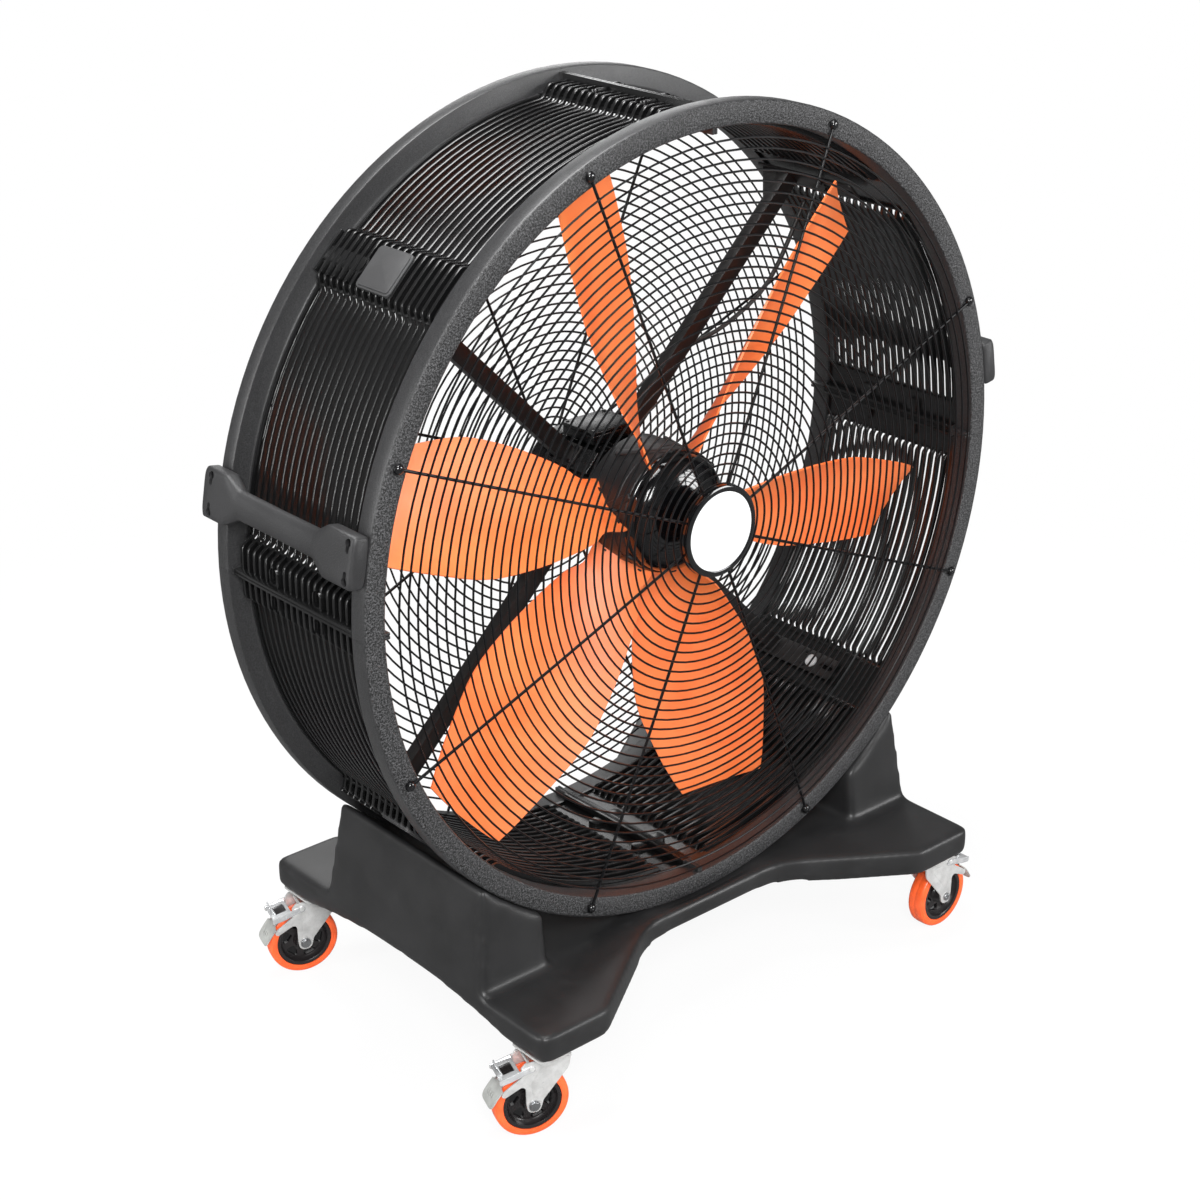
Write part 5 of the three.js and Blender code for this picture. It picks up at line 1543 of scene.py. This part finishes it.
def studio_paper(colour):
    """Matt paper that glows where it is seen, a little less round the fan, and mirrors dimly."""
    paper = bpy.data.materials.new("studio_paper")
    paper.use_nodes = True
    tree = paper.node_tree
    tree.nodes.clear()
    place = wired(tree, "ShaderNodeTexCoord")["Object"]
    away = wired(tree, "ShaderNodeVectorMath", {0: place}, operation="LENGTH")["Value"]
    fade = wired(tree, "ShaderNodeMapRange", {
        "Value": away, "From Min": 0.9, "From Max": 2.4, "To Min": 0.92, "To Max": 1.0})[0]
    share = wired(tree, "ShaderNodeMath", {0: seen(tree), 1: fade}, operation="MULTIPLY")[0]
    matt = wired(tree, "ShaderNodeBsdfDiffuse", {"Color": (*colour, 1)})[0]
    dim = wired(tree, "ShaderNodeEmission", {"Strength": 0.3})[0]
    glossy = wired(tree, "ShaderNodeLightPath")["Is Glossy Ray"]
    mirrored = wired(tree, "ShaderNodeMixShader", {0: glossy, 1: matt, 2: dim})[0]
    glow = wired(tree, "ShaderNodeEmission")[0]
    blend = wired(tree, "ShaderNodeMixShader", {0: share, 1: mirrored, 2: glow})[0]
    wired(tree, "ShaderNodeOutputMaterial", {"Surface": blend})
    return paper


def studio_air():
    """White air, at full strength only where it is seen."""
    world = bpy.data.worlds.new("studio_air")
    world.use_nodes = True
    tree = world.node_tree
    tree.nodes.clear()
    strength = wired(tree, "ShaderNodeMapRange", {
        "Value": seen(tree), "To Min": 0.2, "To Max": 1.0})[0]
    air = wired(tree, "ShaderNodeBackground", {"Color": (1, 1, 1, 1), "Strength": strength})[0]
    wired(tree, "ShaderNodeOutputWorld", {"Surface": air})
    return world


def soft_lamp(name, place, size, power):
    """A rectangular lamp that faces the middle of the fan."""
    data = bpy.data.lights.new(name, "AREA")
    data.shape = "RECTANGLE"
    data.size, data.size_y = size
    data.energy = power
    lamp = bpy.data.objects.new(name, data)
    bpy.context.scene.collection.objects.link(lamp)
    lamp.location = place
    lamp.rotation_euler = (LAMP_TARGET - Vector(place)).to_track_quat("-Z", "Y").to_euler()


class DRUMFAN_OT_add_studio(bpy.types.Operator):
    """Adds the floor, the soft lamps and the camera"""

    bl_idname = "drum_fan.add_studio"
    bl_label = "Studio"

    def execute(self, context):
        scene = context.scene
        scene.view_settings.view_transform = "Standard"
        ground = bmesh.new()
        bmesh.ops.create_grid(ground, x_segments=2, y_segments=2, size=40)
        floor = as_object(ground, "studio_floor")
        floor.data.materials.append(studio_paper(scene.fan_colours.floor))
        scene.world = studio_air()
        for name, place, size, power in LAMPS:
            soft_lamp(name, place, size, power)

        data = bpy.data.cameras.new("photo_view")
        data.lens = LENS
        data.sensor_width = SENSOR
        camera = bpy.data.objects.new("photo_view", data)
        scene.collection.objects.link(camera)
        camera.location = CAMERA_PLACE
        camera.rotation_euler = [math.radians(angle) for angle in CAMERA_TURN]
        scene.camera = camera
        return {"FINISHED"}


class DRUMFAN_PT_pieces(bpy.types.Panel):
    """The fan's pieces, sizes and colours"""

    bl_label = "Drum Fan"
    bl_space_type = "VIEW_3D"
    bl_region_type = "UI"
    bl_category = "Drum Fan"

    def draw(self, context):
        for group in (context.scene.fan_sizes, context.scene.fan_colours):
            box = self.layout.box()
            for name in group.__annotations__:
                box.prop(group, name)
        for operator in OPERATORS:
            self.layout.operator(operator.bl_idname)


OPERATORS = (
    DRUMFAN_OT_mix_finishes, DRUMFAN_OT_add_studio, DRUMFAN_OT_add_motor, DRUMFAN_OT_add_base,
    DRUMFAN_OT_add_drum, DRUMFAN_OT_add_guards, DRUMFAN_OT_add_badge, DRUMFAN_OT_add_impeller,
    DRUMFAN_OT_add_struts, DRUMFAN_OT_add_handles, DRUMFAN_OT_add_casters,
)


def register():
    for group in (FanSizes, FanColours, *OPERATORS, DRUMFAN_PT_pieces):
        bpy.utils.register_class(group)
    bpy.types.Scene.fan_sizes = bpy.props.PointerProperty(type=FanSizes)
    bpy.types.Scene.fan_colours = bpy.props.PointerProperty(type=FanColours)


def unregister():
    del bpy.types.Scene.fan_colours
    del bpy.types.Scene.fan_sizes
    for group in reversed((FanSizes, FanColours, *OPERATORS, DRUMFAN_PT_pieces)):
        bpy.utils.unregister_class(group)


def main():
    register()
    bpy.ops.drum_fan.mix_finishes()
    bpy.ops.drum_fan.add_studio()
    bpy.ops.drum_fan.add_motor()
    bpy.ops.drum_fan.add_base()
    bpy.ops.drum_fan.add_drum()
    bpy.ops.drum_fan.add_guards()
    bpy.ops.drum_fan.add_badge()
    bpy.ops.drum_fan.add_impeller()
    bpy.ops.drum_fan.add_struts()
    bpy.ops.drum_fan.add_handles()
    bpy.ops.drum_fan.add_casters()


if __name__ == "__main__":
    main()
